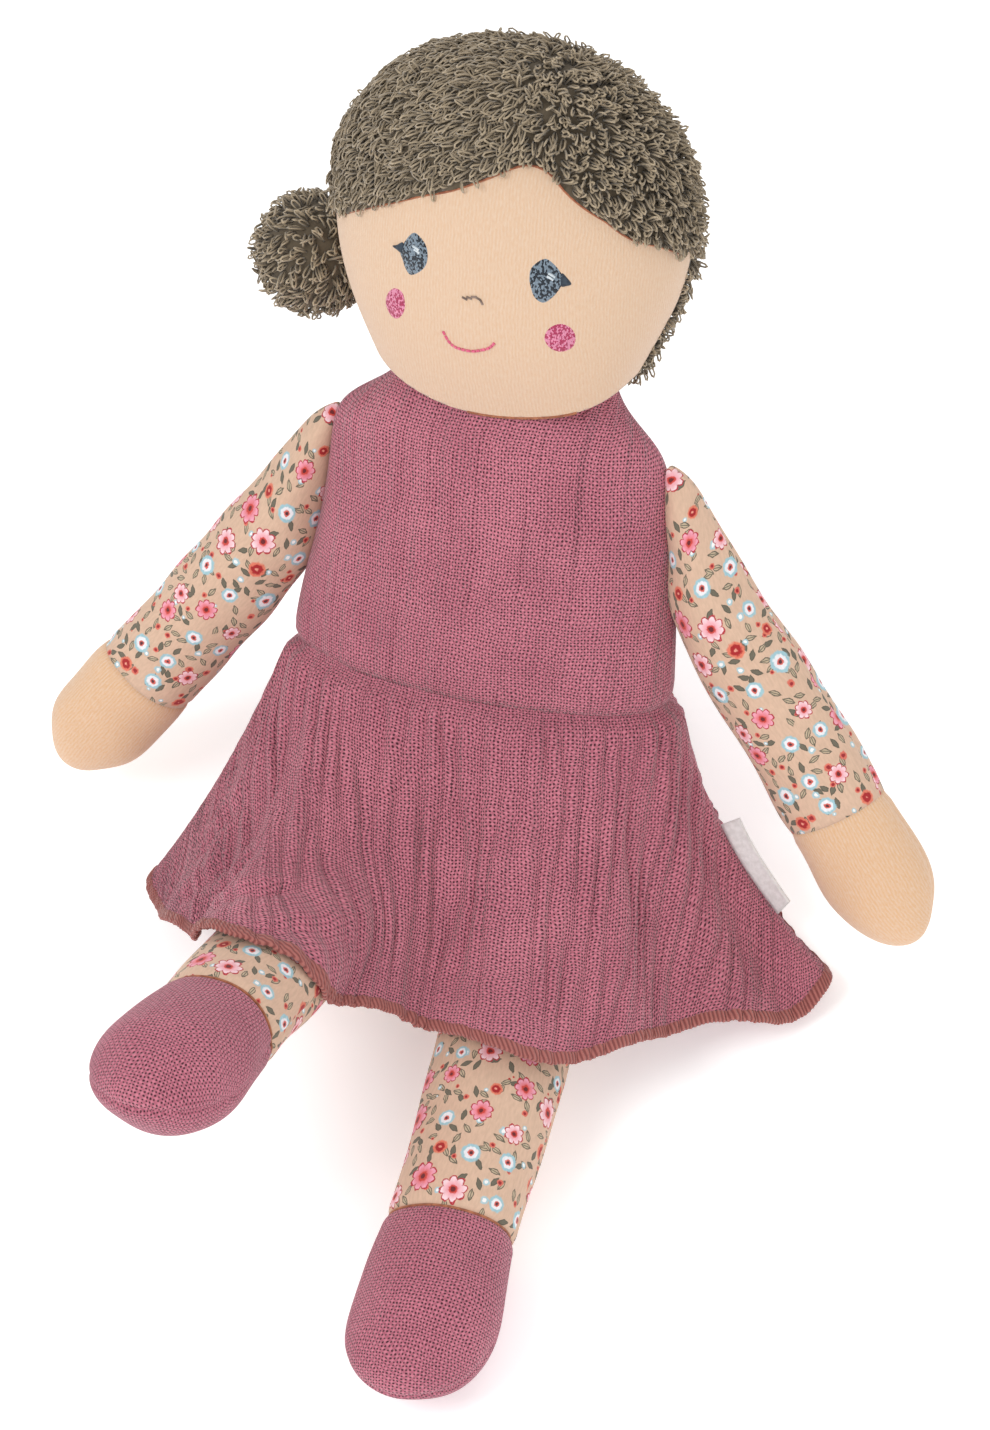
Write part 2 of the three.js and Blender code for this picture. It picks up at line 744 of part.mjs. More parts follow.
// A closed piece of the sheet between two places around and two places down
function sheetPanel(name, from, to, top, bottom, rows, thickness, material) {
  const grid = [];
  for (let row = 0; row <= rows; row++) {
    for (let column = 0; column <= skirtColumns; column++) {
      const around = (THREE.MathUtils.lerp(from, to, column / skirtColumns) + 1) % 1;
      grid.push([around, THREE.MathUtils.lerp(top, bottom, row / rows)]);
    }
  }
  const middle = new THREE.BufferGeometry().setFromPoints(grid.map(([a, d]) => sheetPoint(a, d)));
  const width = skirtColumns + 1;
  const faces = [];
  for (let row = 0; row < rows; row++) {
    for (let column = 0; column < skirtColumns; column++) {
      const corner = row * width + column;
      faces.push(corner, corner + width, corner + 1, corner + 1, corner + width, corner + width + 1);
    }
  }
  middle.setIndex(faces);
  middle.computeVertexNormals();
  const place = middle.attributes.position;
  const facing = middle.attributes.normal;
  const shifted = sign => grid.map((_, i) => new THREE.Vector3().fromBufferAttribute(place, i)
    .addScaledVector(new THREE.Vector3().fromBufferAttribute(facing, i), sign * thickness / 2));
  const points = [...shifted(1), ...shifted(-1)];
  const count = grid.length;
  const closed = [...faces];
  for (let i = 0; i < faces.length; i += 3) {
    closed.push(faces[i] + count, faces[i + 2] + count, faces[i + 1] + count);
  }
  const rim = [];
  for (let column = 0; column < skirtColumns; column++) {
    rim.push([column + 1, column]);
    rim.push([rows * width + column, rows * width + column + 1]);
  }
  for (let row = 0; row < rows; row++) {
    rim.push([row * width, (row + 1) * width]);
    rim.push([(row + 1) * width + skirtColumns, row * width + skirtColumns]);
  }
  for (const [a, b] of rim) {
    closed.push(b, a, a + count, b, a + count, b + count);
  }
  const geometry = new THREE.BufferGeometry().setFromPoints(points);
  geometry.setIndex(closed);
  const mesh = new THREE.Mesh(geometry, material);
  mesh.name = name;
  doll.add(mesh);
}

const hemTop = 1 - hemDepth / skirtLength;
const seamRoom = fit / (skirtLength * Math.PI);
for (const [half, from, to] of [['front', 0, frontShare], ['back', frontShare, 1]]) {
  const start = from + seamRoom;
  const end = to - seamRoom;
  sheetPanel(`skirt_${half}`, start, end, 0, hemTop - 2 * fit / skirtLength, skirtRows, muslin, muslinRose);
  sheetPanel(`skirt_hem_${half}`, start, end, hemTop, 1, 1, hemThread, threadCoral);
}

// Tag: a bare satin loop in the left side seam, following it and standing out from the cloth
const tagRings = Array.from({ length: tagSteps + 1 }, (_, i) => {
  const down = tagDownShare + (i / tagSteps - 1 / 2) * tagLength / skirtLength;
  const seam = sheetPoint(0, down);
  const along = sheetPoint(0, down + 1 / skirtLength).sub(sheetPoint(0, down - 1 / skirtLength)).normalize();
  const out = sheetNormal(0, down).negate();
  out.addScaledVector(along, -out.dot(along)).normalize();
  const across = along.clone().cross(out);
  const near = muslin / 2 + 2 * fit;
  return [[near, -1], [near + tagDepth, -1], [near + tagDepth, 1], [near, 1]].map(([rise, face]) =>
    seam.clone().addScaledVector(out, rise).addScaledVector(across, face * tagCloth / 2));
});
const tag = new THREE.Mesh(closedLoft(tagRings), satinWhite);
tag.name = 'side_tag';
doll.add(tag);

doll.updateMatrixWorld(true);

export default doll;
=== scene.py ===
# %% [markdown]
# # A sitting rag doll
# The measured parts of the doll are plain stuffed solids. This lesson dresses them: plush,
# jersey, muslin, terry loops and embroidery are built over them in the same place and at the
# same size. All lengths in the tables are millimetres, and Blender gets them in metres.

import json
import math

import bpy
import numpy as np
from mathutils import Matrix, Vector
from mathutils.bvhtree import BVHTree


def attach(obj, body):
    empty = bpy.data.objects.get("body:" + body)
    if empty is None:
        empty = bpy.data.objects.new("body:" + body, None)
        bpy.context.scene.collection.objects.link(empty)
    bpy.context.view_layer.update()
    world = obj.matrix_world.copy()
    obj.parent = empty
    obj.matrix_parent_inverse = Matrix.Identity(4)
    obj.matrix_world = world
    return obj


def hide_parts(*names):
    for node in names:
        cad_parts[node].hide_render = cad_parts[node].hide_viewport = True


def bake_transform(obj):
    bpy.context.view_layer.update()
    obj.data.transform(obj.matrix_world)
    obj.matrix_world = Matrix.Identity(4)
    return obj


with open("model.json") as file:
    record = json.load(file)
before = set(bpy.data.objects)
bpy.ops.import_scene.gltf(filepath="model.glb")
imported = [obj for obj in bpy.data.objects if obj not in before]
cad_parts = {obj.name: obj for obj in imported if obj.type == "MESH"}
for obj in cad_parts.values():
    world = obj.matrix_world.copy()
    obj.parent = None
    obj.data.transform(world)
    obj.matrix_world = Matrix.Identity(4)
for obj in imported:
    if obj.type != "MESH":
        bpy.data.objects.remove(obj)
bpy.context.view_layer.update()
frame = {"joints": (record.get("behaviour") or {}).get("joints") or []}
joints = {joint["name"]: joint for joint in frame["joints"]}

# %% [markdown]
# ## Camera, light and floor
# The camera looks down on the doll from its front left with a long lens, as the photograph
# does. It is set by a target, a distance and three angles. Large soft lamps and a pale floor
# make the plain studio.

# %% The camera
mm = 0.001
camera_turn, camera_rise, camera_roll = (math.radians(a) for a in (22.8, 50.7, 6.4))
camera_target = Vector((18.2, -24.3, 92.5)) * mm
camera_distance = 850 * mm
film_height = 36.0
focal_share = 3825 / 1430

back = Vector((
    math.sin(camera_turn) * math.cos(camera_rise),
    -math.cos(camera_turn) * math.cos(camera_rise),
    math.sin(camera_rise),
))
level = Vector((math.cos(camera_turn), math.sin(camera_turn), 0))
above = back.cross(level)
right = level * math.cos(camera_roll) - above * math.sin(camera_roll)
up = level * math.sin(camera_roll) + above * math.cos(camera_roll)

camera_data = bpy.data.cameras.new("camera")
camera = bpy.data.objects.new("camera", camera_data)
bpy.context.scene.collection.objects.link(camera)
bpy.context.scene.camera = camera
camera_data.sensor_fit = "VERTICAL"
camera_data.sensor_height = film_height
camera_data.lens = focal_share * film_height
camera_data.clip_start = 0.01
camera.matrix_world = Matrix.Translation(camera_target + back * camera_distance) @ Matrix(
    (right, up, back)
).transposed().to_4x4()
bpy.context.scene.view_settings.view_transform = "Standard"
print("camera lens:", round(camera_data.lens, 1), "mm")

# %% Soft lamps and the floor


def linear(code, alpha=1.0):
    """An sRGB hex colour as Blender's linear one."""
    shares = [int(code[i:i + 2], 16) / 255 for i in (0, 2, 4)]
    straight = [s / 12.92 if s <= 0.04045 else ((s + 0.055) / 1.055) ** 2.4 for s in shares]
    return (*straight, alpha)


def pick(piece):
    """Makes one object the only selected and active one."""
    bpy.ops.object.select_all(action="DESELECT")
    piece.select_set(True)
    bpy.context.view_layer.objects.active = piece


def start_from(primitive, name, **settings):
    """Adds a primitive with nothing else selected, and names it."""
    bpy.ops.object.select_all(action="DESELECT")
    primitive(**settings)
    piece = bpy.context.object
    piece.name = name
    return piece


lamps = {
    "key": ((-480, -560, 950), 520, 4.65),
    "fill": ((700, -700, 620), 700, 2.4),
    "rear": ((150, 700, 900), 600, 2.0),
}
for name, (place, size, watts) in lamps.items():
    data = bpy.data.lights.new(name, "AREA")
    data.size = size * mm
    data.energy = watts
    lamp = bpy.data.objects.new(name, data)
    lamp.location = Vector(place) * mm
    lamp.rotation_euler = (camera_target - lamp.location).to_track_quat("-Z", "Y").to_euler()
    bpy.context.scene.collection.objects.link(lamp)

world = bpy.data.worlds.new("studio")
bpy.context.scene.world = world
world.use_nodes = True
world.node_tree.nodes["Background"].inputs["Color"].default_value = linear("ffffff")
world.node_tree.nodes["Background"].inputs["Strength"].default_value = 0.68

floor = start_from(bpy.ops.mesh.primitive_plane_add, "floor", size=6)
print("lamps:", len(lamps))

# %% [markdown]
# ## Materials
# Every finish starts from the real cloth or thread and is drawn from real sizes: the thread
# pitch of the muslin, the wales of the velour, the print of the jersey. One function adds a
# node, gives it its settings, and sets or links its inputs.

# %% One function for nodes


def add_node(tree, kind, inputs=None, **settings):
    """Adds a node; each input is a value to set or a socket to link from."""
    node = tree.nodes.new(kind)
    for key, value in settings.items():
        setattr(node, key, value)
    for key, value in (inputs or {}).items():
        if isinstance(value, bpy.types.NodeSocket):
            tree.links.new(value, node.inputs[key])
        else:
            node.inputs[key].default_value = value
    return node


def new_material(name, roughness, sheen=0.0):
    """A material with its Principled shader and the piece's own UV map, in millimetres."""
    material = bpy.data.materials.new(name)
    material.use_nodes = True
    tree = material.node_tree
    shader = tree.nodes["Principled BSDF"]
    shader.inputs["Roughness"].default_value = roughness
    shader.inputs["Specular IOR Level"].default_value = 0.25
    shader.inputs["Sheen Weight"].default_value = sheen
    shader.inputs["Sheen Roughness"].default_value = 0.5
    place = add_node(tree, "ShaderNodeUVMap", uv_map="UVMap").outputs["UV"]
    return material, tree, shader, place


MATH, MIX, RAMP = "ShaderNodeMath", "ShaderNodeMix", "ShaderNodeMapRange"
print("materials start from roughness, sheen and a UV map")

# %% [markdown]
# ### Muslin
# The dress is a loose plain weave of slubby cotton, with a thread every 0.8 mm or so. Light
# threads cross over holes that are painted dark as shade. A product of two waves makes the
# holes, a product of two slower ones says which thread lies over the other and paints the
# threads lighter or darker by turns as light and shade, slow noise bends the threads, and a
# second noise closes the holes in places.

# %% Muslin
weave_pitch = 0.8


def muslin_cloth(name, light, dark, crinkle):
    """Loose plain weave; crinkle is the strength of the soft lengthwise ribs."""
    material, tree, shader, place = new_material(name, 0.9, 0.25)
    bend = add_node(tree, "ShaderNodeTexNoise", {
        "Vector": place, "Scale": 0.09, "Detail": 3.0, "Roughness": 0.55,
    }, noise_dimensions="2D").outputs["Color"]
    wander = add_node(tree, "ShaderNodeVectorMath", {
        0: bend, 1: (0.5, 0.5, 0.5),
    }, operation="SUBTRACT").outputs[0]
    moved = add_node(tree, "ShaderNodeVectorMath", {
        0: wander, 1: (2.2, 2.2, 0), 2: place,
    }, operation="MULTIPLY_ADD").outputs[0]
    apart = add_node(tree, "ShaderNodeSeparateXYZ", {0: moved})
    waves, halves = [], []
    for axis in ("X", "Y"):
        angle = add_node(tree, MATH, {
            0: apart.outputs[axis], 1: 2 * math.pi / weave_pitch,
        }, operation="MULTIPLY").outputs[0]
        half = add_node(tree, MATH, {0: angle, 1: 0.5}, operation="MULTIPLY").outputs[0]
        halves.append(add_node(tree, MATH, {0: half}, operation="SINE").outputs[0])
        wave = add_node(tree, MATH, {0: angle}, operation="COSINE").outputs[0]
        waves.append(add_node(tree, MATH, {
            0: wave, 1: 0.5, 2: 0.5,
        }, operation="MULTIPLY_ADD").outputs[0])
    cross = add_node(tree, MATH, {0: waves[0], 1: waves[1]}, operation="MULTIPLY").outputs[0]
    slub = add_node(tree, "ShaderNodeTexNoise", {
        "Vector": place, "Scale": 0.8, "Detail": 3.0, "Roughness": 0.7,
    }, noise_dimensions="2D").outputs["Fac"]
    limit = add_node(tree, RAMP, {
        "Value": slub, "From Min": 0.35, "From Max": 0.65, "To Min": 0.53, "To Max": 0.16,
    }).outputs["Result"]
    top = add_node(tree, MATH, {0: limit, 1: 0.38}, operation="ADD").outputs[0]
    hole = add_node(tree, RAMP, {
        "Value": cross, "From Min": limit, "From Max": top,
    }).outputs["Result"]
    broad = add_node(tree, "ShaderNodeTexNoise", {
        "Vector": place, "Scale": 0.06, "Detail": 3.0,
    }, noise_dimensions="2D").outputs["Fac"]
    over = add_node(tree, MATH, {0: halves[0], 1: halves[1]}, operation="MULTIPLY").outputs[0]
    # painted light and shade: threads are lighter or darker by turns as they lie over or under at
    # the crossings, mixed with broad uneven tone
    share = add_node(tree, MATH, {0: over, 1: 0.45, 2: broad}, operation="MULTIPLY_ADD").outputs[0]
    tone = add_node(tree, MIX, {
        0: share, 6: linear(light[0]), 7: linear(light[1]),
    }, data_type="RGBA")
    # painted shade: the holes between the threads take the dark colour
    colour = add_node(tree, MIX, {
        0: hole, 6: tone.outputs[2], 7: linear(dark),
    }, data_type="RGBA")
    stretched = add_node(tree, "ShaderNodeMapping", {
        "Vector": place, "Scale": (0.23, 0.012, 1),
    }).outputs[0]
    rib = add_node(tree, "ShaderNodeTexNoise", {
        "Vector": stretched, "Scale": 1.0, "Detail": 2.0,
    }, noise_dimensions="2D").outputs["Fac"]
    ribs = add_node(tree, "ShaderNodeBump", {
        "Height": rib, "Strength": crinkle, "Distance": 3.2 * mm,
    }).outputs["Normal"]
    depth = add_node(tree, MATH, {0: over, 1: 0.3, 2: hole}, operation="MULTIPLY_ADD").outputs[0]
    relief = add_node(tree, "ShaderNodeBump", {
        "Height": depth, "Strength": 0.9, "Distance": 0.42 * mm, "Normal": ribs,
    }, invert=True).outputs["Normal"]
    tree.links.new(colour.outputs[2], shader.inputs["Base Color"])
    tree.links.new(relief, shader.inputs["Normal"])
    return material


# the first two colours are the threads, mixed by painted light and shade at their crossings; the
# third is painted shade in the holes
rose_muslin = muslin_cloth("rose muslin, loose plain weave", ("cf7e8e", "ad5f70"), "4c1829", 0.85)
shoe_muslin = muslin_cloth("rose muslin, pulled tight", ("cb7a8b", "a85b6d"), "501a2b", 0.25)
print("muslin pitch:", weave_pitch, "mm")

# %% [markdown]
# ### Velour
# The face and hands are short-pile cotton velour. Its pile stands in fine lengthwise wales
# about 0.8 mm apart, and its fibres catch light at a grazing angle, which the sheen gives.

# %% Velour
wale_pitch = 0.8


def velour_cloth(name, light, shade):
    """Short pile with faint broken wales, painted darker in the hollows of its pile."""
    material, tree, shader, place = new_material(name, 0.95, 0.35)
    wander = add_node(tree, "ShaderNodeTexNoise", {
        "Vector": place, "Scale": 0.15, "Detail": 2.0,
    }, noise_dimensions="2D").outputs["Fac"]
    apart = add_node(tree, "ShaderNodeSeparateXYZ", {0: place})
    angle = add_node(tree, MATH, {
        0: apart.outputs["X"], 1: 2 * math.pi / wale_pitch,
    }, operation="MULTIPLY").outputs[0]
    bent = add_node(tree, MATH, {0: wander, 1: 9.0, 2: angle}, operation="MULTIPLY_ADD").outputs[0]
    wave = add_node(tree, MATH, {0: bent}, operation="SINE").outputs[0]
    fibres = add_node(tree, "ShaderNodeMapping", {
        "Vector": place, "Scale": (2.4, 0.7, 1),
    }).outputs[0]
    speck = add_node(tree, "ShaderNodeTexNoise", {
        "Vector": fibres, "Scale": 1.0, "Detail": 4.0, "Roughness": 0.7,
    }, noise_dimensions="2D").outputs["Fac"]
    pile = add_node(tree, MATH, {0: wave, 1: 0.10, 2: speck}, operation="MULTIPLY_ADD").outputs[0]
    strength = add_node(tree, RAMP, {
        "Value": pile, "From Min": 0.35, "From Max": 0.75,
    }).outputs["Result"]
    # painted shade: the low parts of the pile, its wale grooves and fibre hollows, take the shade
    # colour
    colour = add_node(tree, MIX, {
        0: strength, 6: linear(shade), 7: linear(light),
    }, data_type="RGBA")
    relief = add_node(tree, "ShaderNodeBump", {
        "Height": pile, "Strength": 0.35, "Distance": 0.5 * mm,
    }).outputs["Normal"]
    tree.links.new(colour.outputs[2], shader.inputs["Base Color"])
    tree.links.new(relief, shader.inputs["Normal"])
    return material


face_velour = velour_cloth("peach velour, short pile", "ddc3ab", "d8b697")
hand_velour = velour_cloth("apricot velour, short pile", "e0c2a8", "dbb088")
print("velour wales:", wale_pitch, "mm")

# %% [markdown]
# ### Printed jersey
# The sleeves and leggings are thin knit cotton with a small scattered print: daisies with
# drawn petals, ringed blue flowers, little roses and leaves. Each cell of a Voronoi pattern
# holds one motif. Its place inside the cell, as an angle and a radius, draws the petals. The
# drawing itself is four short tables: sums that shape a motif, soft edges, mixed colours, and
# the inks in the order in which they are printed.

# %% Printed jersey
motif_pitch = 8.8
leaf_pitch = 3.2
bud_pitch = 4.6


def motif_cells(tree, place, pitch, shift, jitter):
    """Cells of one motif each: its own coordinates, their angle and radius, and three chances."""
    moved = add_node(tree, "ShaderNodeVectorMath", {0: place, 1: shift}, operation="ADD").outputs[0]
    cells = add_node(tree, "ShaderNodeTexVoronoi", {
        "Vector": moved, "Scale": 1 / pitch, "Randomness": jitter,
    }, voronoi_dimensions="2D")
    room = add_node(tree, "ShaderNodeTexVoronoi", {
        "Vector": moved, "Scale": 1 / pitch, "Randomness": jitter,
    }, voronoi_dimensions="2D", feature="N_SPHERE_RADIUS").outputs["Radius"]
    own = add_node(tree, "ShaderNodeVectorMath", {
        0: moved, 1: cells.outputs["Position"],
    }, operation="SUBTRACT").outputs[0]
    chance = add_node(tree, "ShaderNodeSeparateColor", {0: cells.outputs["Color"]})
    turn = add_node(tree, MATH, {
        0: chance.outputs[1], 1: 2 * math.pi,
    }, operation="MULTIPLY").outputs[0]
    turned = add_node(tree, "ShaderNodeVectorRotate", {
        "Vector": own, "Angle": turn,
    }, rotation_type="Z_AXIS").outputs[0]
    apart = add_node(tree, "ShaderNodeSeparateXYZ", {0: turned})
    angle = add_node(tree, MATH, {
        0: apart.outputs["Y"], 1: apart.outputs["X"],
    }, operation="ARCTAN2").outputs[0]
    radius = add_node(tree, "ShaderNodeVectorMath", {
        0: turned,
    }, operation="LENGTH").outputs["Value"]
    room = add_node(tree, MATH, {0: room, 1: 0.5}, operation="MINIMUM").outputs[0]
    room = add_node(tree, MATH, {0: 0.5, 1: room}, operation="DIVIDE").outputs[0]
    reach = add_node(tree, MATH, {0: radius, 1: room}, operation="MULTIPLY").outputs[0]
    return apart, angle, reach, chance


# each sum is its name, its operation and its values, which are numbers or names of earlier ones
print_sums = [
    # leaves: pointed ovals with a drawn edge and midrib
    ("wide", "MULTIPLY", "leaf across", 1 / 1.6), ("wide", "ABSOLUTE", "wide"),
    ("tall", "MULTIPLY", "leaf up", 1 / 0.66), ("tall", "ABSOLUTE", "tall"),
    ("bow", "POWER", "wide", 1.7), ("oval", "ADD", "bow", "tall"),
    ("oval", "MULTIPLY_ADD", "wobble", 0.7, "oval"),
    ("is leaf", "GREATER_THAN", "leaf chance", 0.3), ("is dark", "GREATER_THAN", "leaf tone", 0.62),
    ("edge", "SUBTRACT", "oval", 1.22), ("edge", "ABSOLUTE", "edge"),
    # buds: small dots, red or blue
    ("dot", "MULTIPLY_ADD", "wobble", 0.8, "bud reach"),
    ("is bud", "GREATER_THAN", "bud chance", 0.45), ("is pale", "GREATER_THAN", "bud tone", 0.6),
    # flowers: one chance says which of three, and another how large
    ("is daisy", "LESS_THAN", "flower chance", 0.45),
    ("is rose", "GREATER_THAN", "flower chance", 0.74),
    ("others", "ADD", "is daisy", "is rose"), ("is ringed", "SUBTRACT", 1.0, "others"),
    ("size", "MULTIPLY_ADD", "flower tone", -0.26, 1.1),
    ("reach", "MULTIPLY", "flower reach", "size"),
    ("reach", "MULTIPLY_ADD", "wobble", 0.9, "reach"),
    # daisy: eight petals, drawn round
    ("lobes", "MULTIPLY", "flower angle", 4.0), ("lobes", "SINE", "lobes"),
    ("lobes", "ABSOLUTE", "lobes"), ("lobes", "POWER", "lobes", 0.55),
    ("rim", "MULTIPLY_ADD", "lobes", 1.15, 2.75), ("inside", "SUBTRACT", "reach", "rim"),
    ("line", "ADD", "inside", 0.12), ("line", "ABSOLUTE", "line"),
    ("is rosy", "GREATER_THAN", "flower turn", 0.55),
]
# a fade is 1 up to its first number and 0 from its second
print_fades = [("leaf", "oval", 1.25, 1.4), ("blush", "reach", 3.9, 1.2)]
print_mixes = [
    ("bud skin", "is pale", "d8705f", "a9c6cd"), ("bud heart", "is pale", "9c2f33", "f3f0ee"),
    ("white petal", "blush", "e98f9a", "f6e4e8"), ("pink petal", "blush", "e0625f", "efb4cb"),
    ("petal", "is rosy", "white petal", "pink petal"),
]
# an ink goes where its fade and all that is named after it hold
print_inks = [
    ("b9ab90", "oval", 1.25, 1.4, "is leaf", 0.75),
    ("6f6a5c", "oval", 1.25, 1.4, "is leaf", "is dark"),
    ("5d584c", "edge", 0.10, 0.24, "is leaf"), ("6d6657", "tall", 0.10, 0.22, "leaf", "is leaf"),
    ("bud skin", "dot", 1.35, 1.6, "is bud"), ("bud heart", "dot", 0.85, 1.05, "is bud"),
    ("petal", "inside", -0.1, 0.1, "is daisy"), ("b3303a", "line", 0.12, 0.3, "is daisy"),
    ("c9493f", "reach", 1.45, 1.75, "is daisy"), ("6e2b2e", "reach", 0.95, 1.15, "is daisy"),
    ("9ec3cc", "reach", 2.75, 3.05, "is ringed"), ("e9e7ea", "reach", 2.0, 2.3, "is ringed"),
    ("d8695f", "reach", 1.2, 1.4, "is ringed"), ("59333a", "reach", 0.75, 0.95, "is ringed"),
    ("dd7a62", "reach", 2.3, 2.7, "is rose"), ("a8292c", "reach", 1.7, 2.0, "is rose"),
    ("e79a86", "reach", 0.7, 0.9, "is rose"),
]
print("the print has", len(print_inks), "inks")

# %% The jersey from its tables


def printed_jersey(name, ground):
    """Knit cotton with the scattered print, worked out from the tables."""
    material, tree, shader, place = new_material(name, 0.85, 0.15)
    known = {"wobble": add_node(tree, "ShaderNodeTexNoise", {
        "Vector": place, "Scale": 1.1, "Detail": 2.0,
    }, noise_dimensions="2D").outputs["Fac"]}
    for motif, pitch, shift, jitter in (
        ("leaf", leaf_pitch, (3.1, 7.7, 0), 0.9), ("bud", bud_pitch, (5.3, 1.9, 0), 0.95),
        ("flower", motif_pitch, (0, 0, 0), 0.45),
    ):
        apart, angle, reach, chance = motif_cells(tree, place, pitch, shift, jitter)
        known |= {
            f"{motif} across": apart.outputs["X"], f"{motif} up": apart.outputs["Y"],
            f"{motif} angle": angle, f"{motif} reach": reach, f"{motif} chance": chance.outputs[0],
            f"{motif} turn": chance.outputs[1], f"{motif} tone": chance.outputs[2],
        }
    for result, operation, *values in print_sums:
        known[result] = add_node(tree, MATH, {
            i: known.get(value, value) for i, value in enumerate(values)
        }, operation=operation).outputs[0]
    for result, value, full, none in print_fades:
        known[result] = add_node(tree, RAMP, {
            "Value": known[value], "From Min": full, "From Max": none, "To Min": 1.0, "To Max": 0.0,
        }).outputs["Result"]
    for result, share, *inks in print_mixes:
        under, over = (known[ink] if ink in known else linear(ink) for ink in inks)
        known[result] = add_node(tree, MIX, {
            0: known[share], 6: under, 7: over,
        }, data_type="RGBA").outputs[2]
    colour = linear(ground)
    for ink, value, full, none, *limits in print_inks:
        mask = add_node(tree, RAMP, {
            "Value": known[value], "From Min": full, "From Max": none, "To Min": 1.0, "To Max": 0.0,
        }).outputs["Result"]
        for limit in limits:
            mask = add_node(tree, MATH, {
                0: mask, 1: known.get(limit, limit),
            }, operation="MULTIPLY").outputs[0]
        colour = add_node(tree, MIX, {
            0: mask, 6: colour, 7: known[ink] if ink in known else linear(ink),
        }, data_type="RGBA").outputs[2]

    # knit: stitch columns about 0.6 mm apart, painted a little darker in their hollows and lighter
    # on their tops, as shade and light
    columns = add_node(tree, "ShaderNodeMapping", {
        "Vector": place, "Scale": (1.6, 0.5, 1),
    }).outputs[0]
    knit = add_node(tree, "ShaderNodeTexNoise", {
        "Vector": columns, "Scale": 1.0, "Detail": 3.0,
    }, noise_dimensions="2D").outputs["Fac"]
    knit_shade = add_node(tree, RAMP, {
        "Value": knit, "From Min": 0.3, "From Max": 0.7, "To Min": 0.93, "To Max": 1.04,
    }).outputs["Result"]
    colour = add_node(tree, "ShaderNodeVectorMath", {
        0: colour, "Scale": knit_shade,
    }, operation="SCALE").outputs[0]
    relief = add_node(tree, "ShaderNodeBump", {
        "Height": knit, "Strength": 0.2, "Distance": 0.4 * mm,
    }).outputs["Normal"]
    tree.links.new(colour, shader.inputs["Base Color"])
    tree.links.new(relief, shader.inputs["Normal"])
    return material


flower_jersey = printed_jersey("printed cotton jersey", "d4b39b")
print("print motifs every", motif_pitch, "mm")

# %% [markdown]
# ### Terry, threads, satin and filling
# Terry is painted with shade at the roots of its loops and in the ground cloth between them,
# and shows its own colour on their tops, so its map holds how high a point is on its loop and
# a tint for the loop. Embroidery is speckled: two thread colours show by turns in short
# stitches. The filling is white fibre and the label is bare satin.

# %% Terry, threads, satin and filling


def terry_yarn(name, root_shade, tip, tip_pale):
    """Looped cotton yarn; U of its map is the loop's tint and V the height on the loop, along which
    painted shade darkens it towards the root.
    """
    material, tree, shader, place = new_material(name, 0.95, 0.3)
    apart = add_node(tree, "ShaderNodeSeparateXYZ", {0: place})
    top = add_node(tree, MIX, {
        0: apart.outputs["X"], 6: linear(tip), 7: linear(tip_pale),
    }, data_type="RGBA").outputs[2]
    # painted shade: the yarn goes from its own colour at the top of the loop to the dark root
    # colour at its foot
    colour = add_node(tree, MIX, {
        0: apart.outputs["Y"], 6: linear(root_shade), 7: top,
    }, data_type="RGBA").outputs[2]
    tree.links.new(colour, shader.inputs["Base Color"])
    return material


def speckled_thread(name, first, second, speck, share):
    """Short stitches of two thread colours in a dense patch."""
    material, tree, shader, _ = new_material(name, 0.5, 0.2)
    place = add_node(tree, "ShaderNodeTexCoord").outputs["Object"]
    sewn = add_node(tree, "ShaderNodeMapping", {
        "Vector": place, "Scale": (1.5, 1.5, 1.0),
    }).outputs[0]
    cells = add_node(tree, "ShaderNodeTexVoronoi", {
        "Vector": sewn, "Scale": 1 / (speck * mm), "Randomness": 1.0,
    })
    chance = add_node(tree, "ShaderNodeSeparateColor", {0: cells.outputs["Color"]}).outputs[0]
    which = add_node(tree, MATH, {0: chance, 1: share}, operation="GREATER_THAN").outputs[0]
    colour = add_node(tree, MIX, {
        0: which, 6: linear(first), 7: linear(second),
    }, data_type="RGBA").outputs[2]
    relief = add_node(tree, "ShaderNodeBump", {
        "Height": cells.outputs["Distance"], "Strength": 0.9, "Distance": 0.5 * mm,
    }, invert=True).outputs["Normal"]
    tree.links.new(colour, shader.inputs["Base Color"])
    tree.links.new(relief, shader.inputs["Normal"])
    return material


def plain_thread(name, light, dark, roughness=0.55):
    """Twisted thread or fibre with a soft change of tone along it."""
    material, tree, shader, _ = new_material(name, roughness, 0.2)
    place = add_node(tree, "ShaderNodeTexCoord").outputs["Object"]
    tone = add_node(tree, "ShaderNodeTexNoise", {
        "Vector": place, "Scale": 900.0, "Detail": 2.0,
    }).outputs["Fac"]
    strength = add_node(tree, RAMP, {
        "Value": tone, "From Min": 0.35, "From Max": 0.65,
    }).outputs["Result"]
    colour = add_node(tree, MIX, {
        0: strength, 6: linear(light), 7: linear(dark),
    }, data_type="RGBA").outputs[2]
    relief = add_node(tree, "ShaderNodeBump", {
        "Height": tone, "Strength": 0.5, "Distance": 0.3 * mm,
    }).outputs["Normal"]
    tree.links.new(colour, shader.inputs["Base Color"])
    tree.links.new(relief, shader.inputs["Normal"])
    return material


stitch_pitch = 0.95


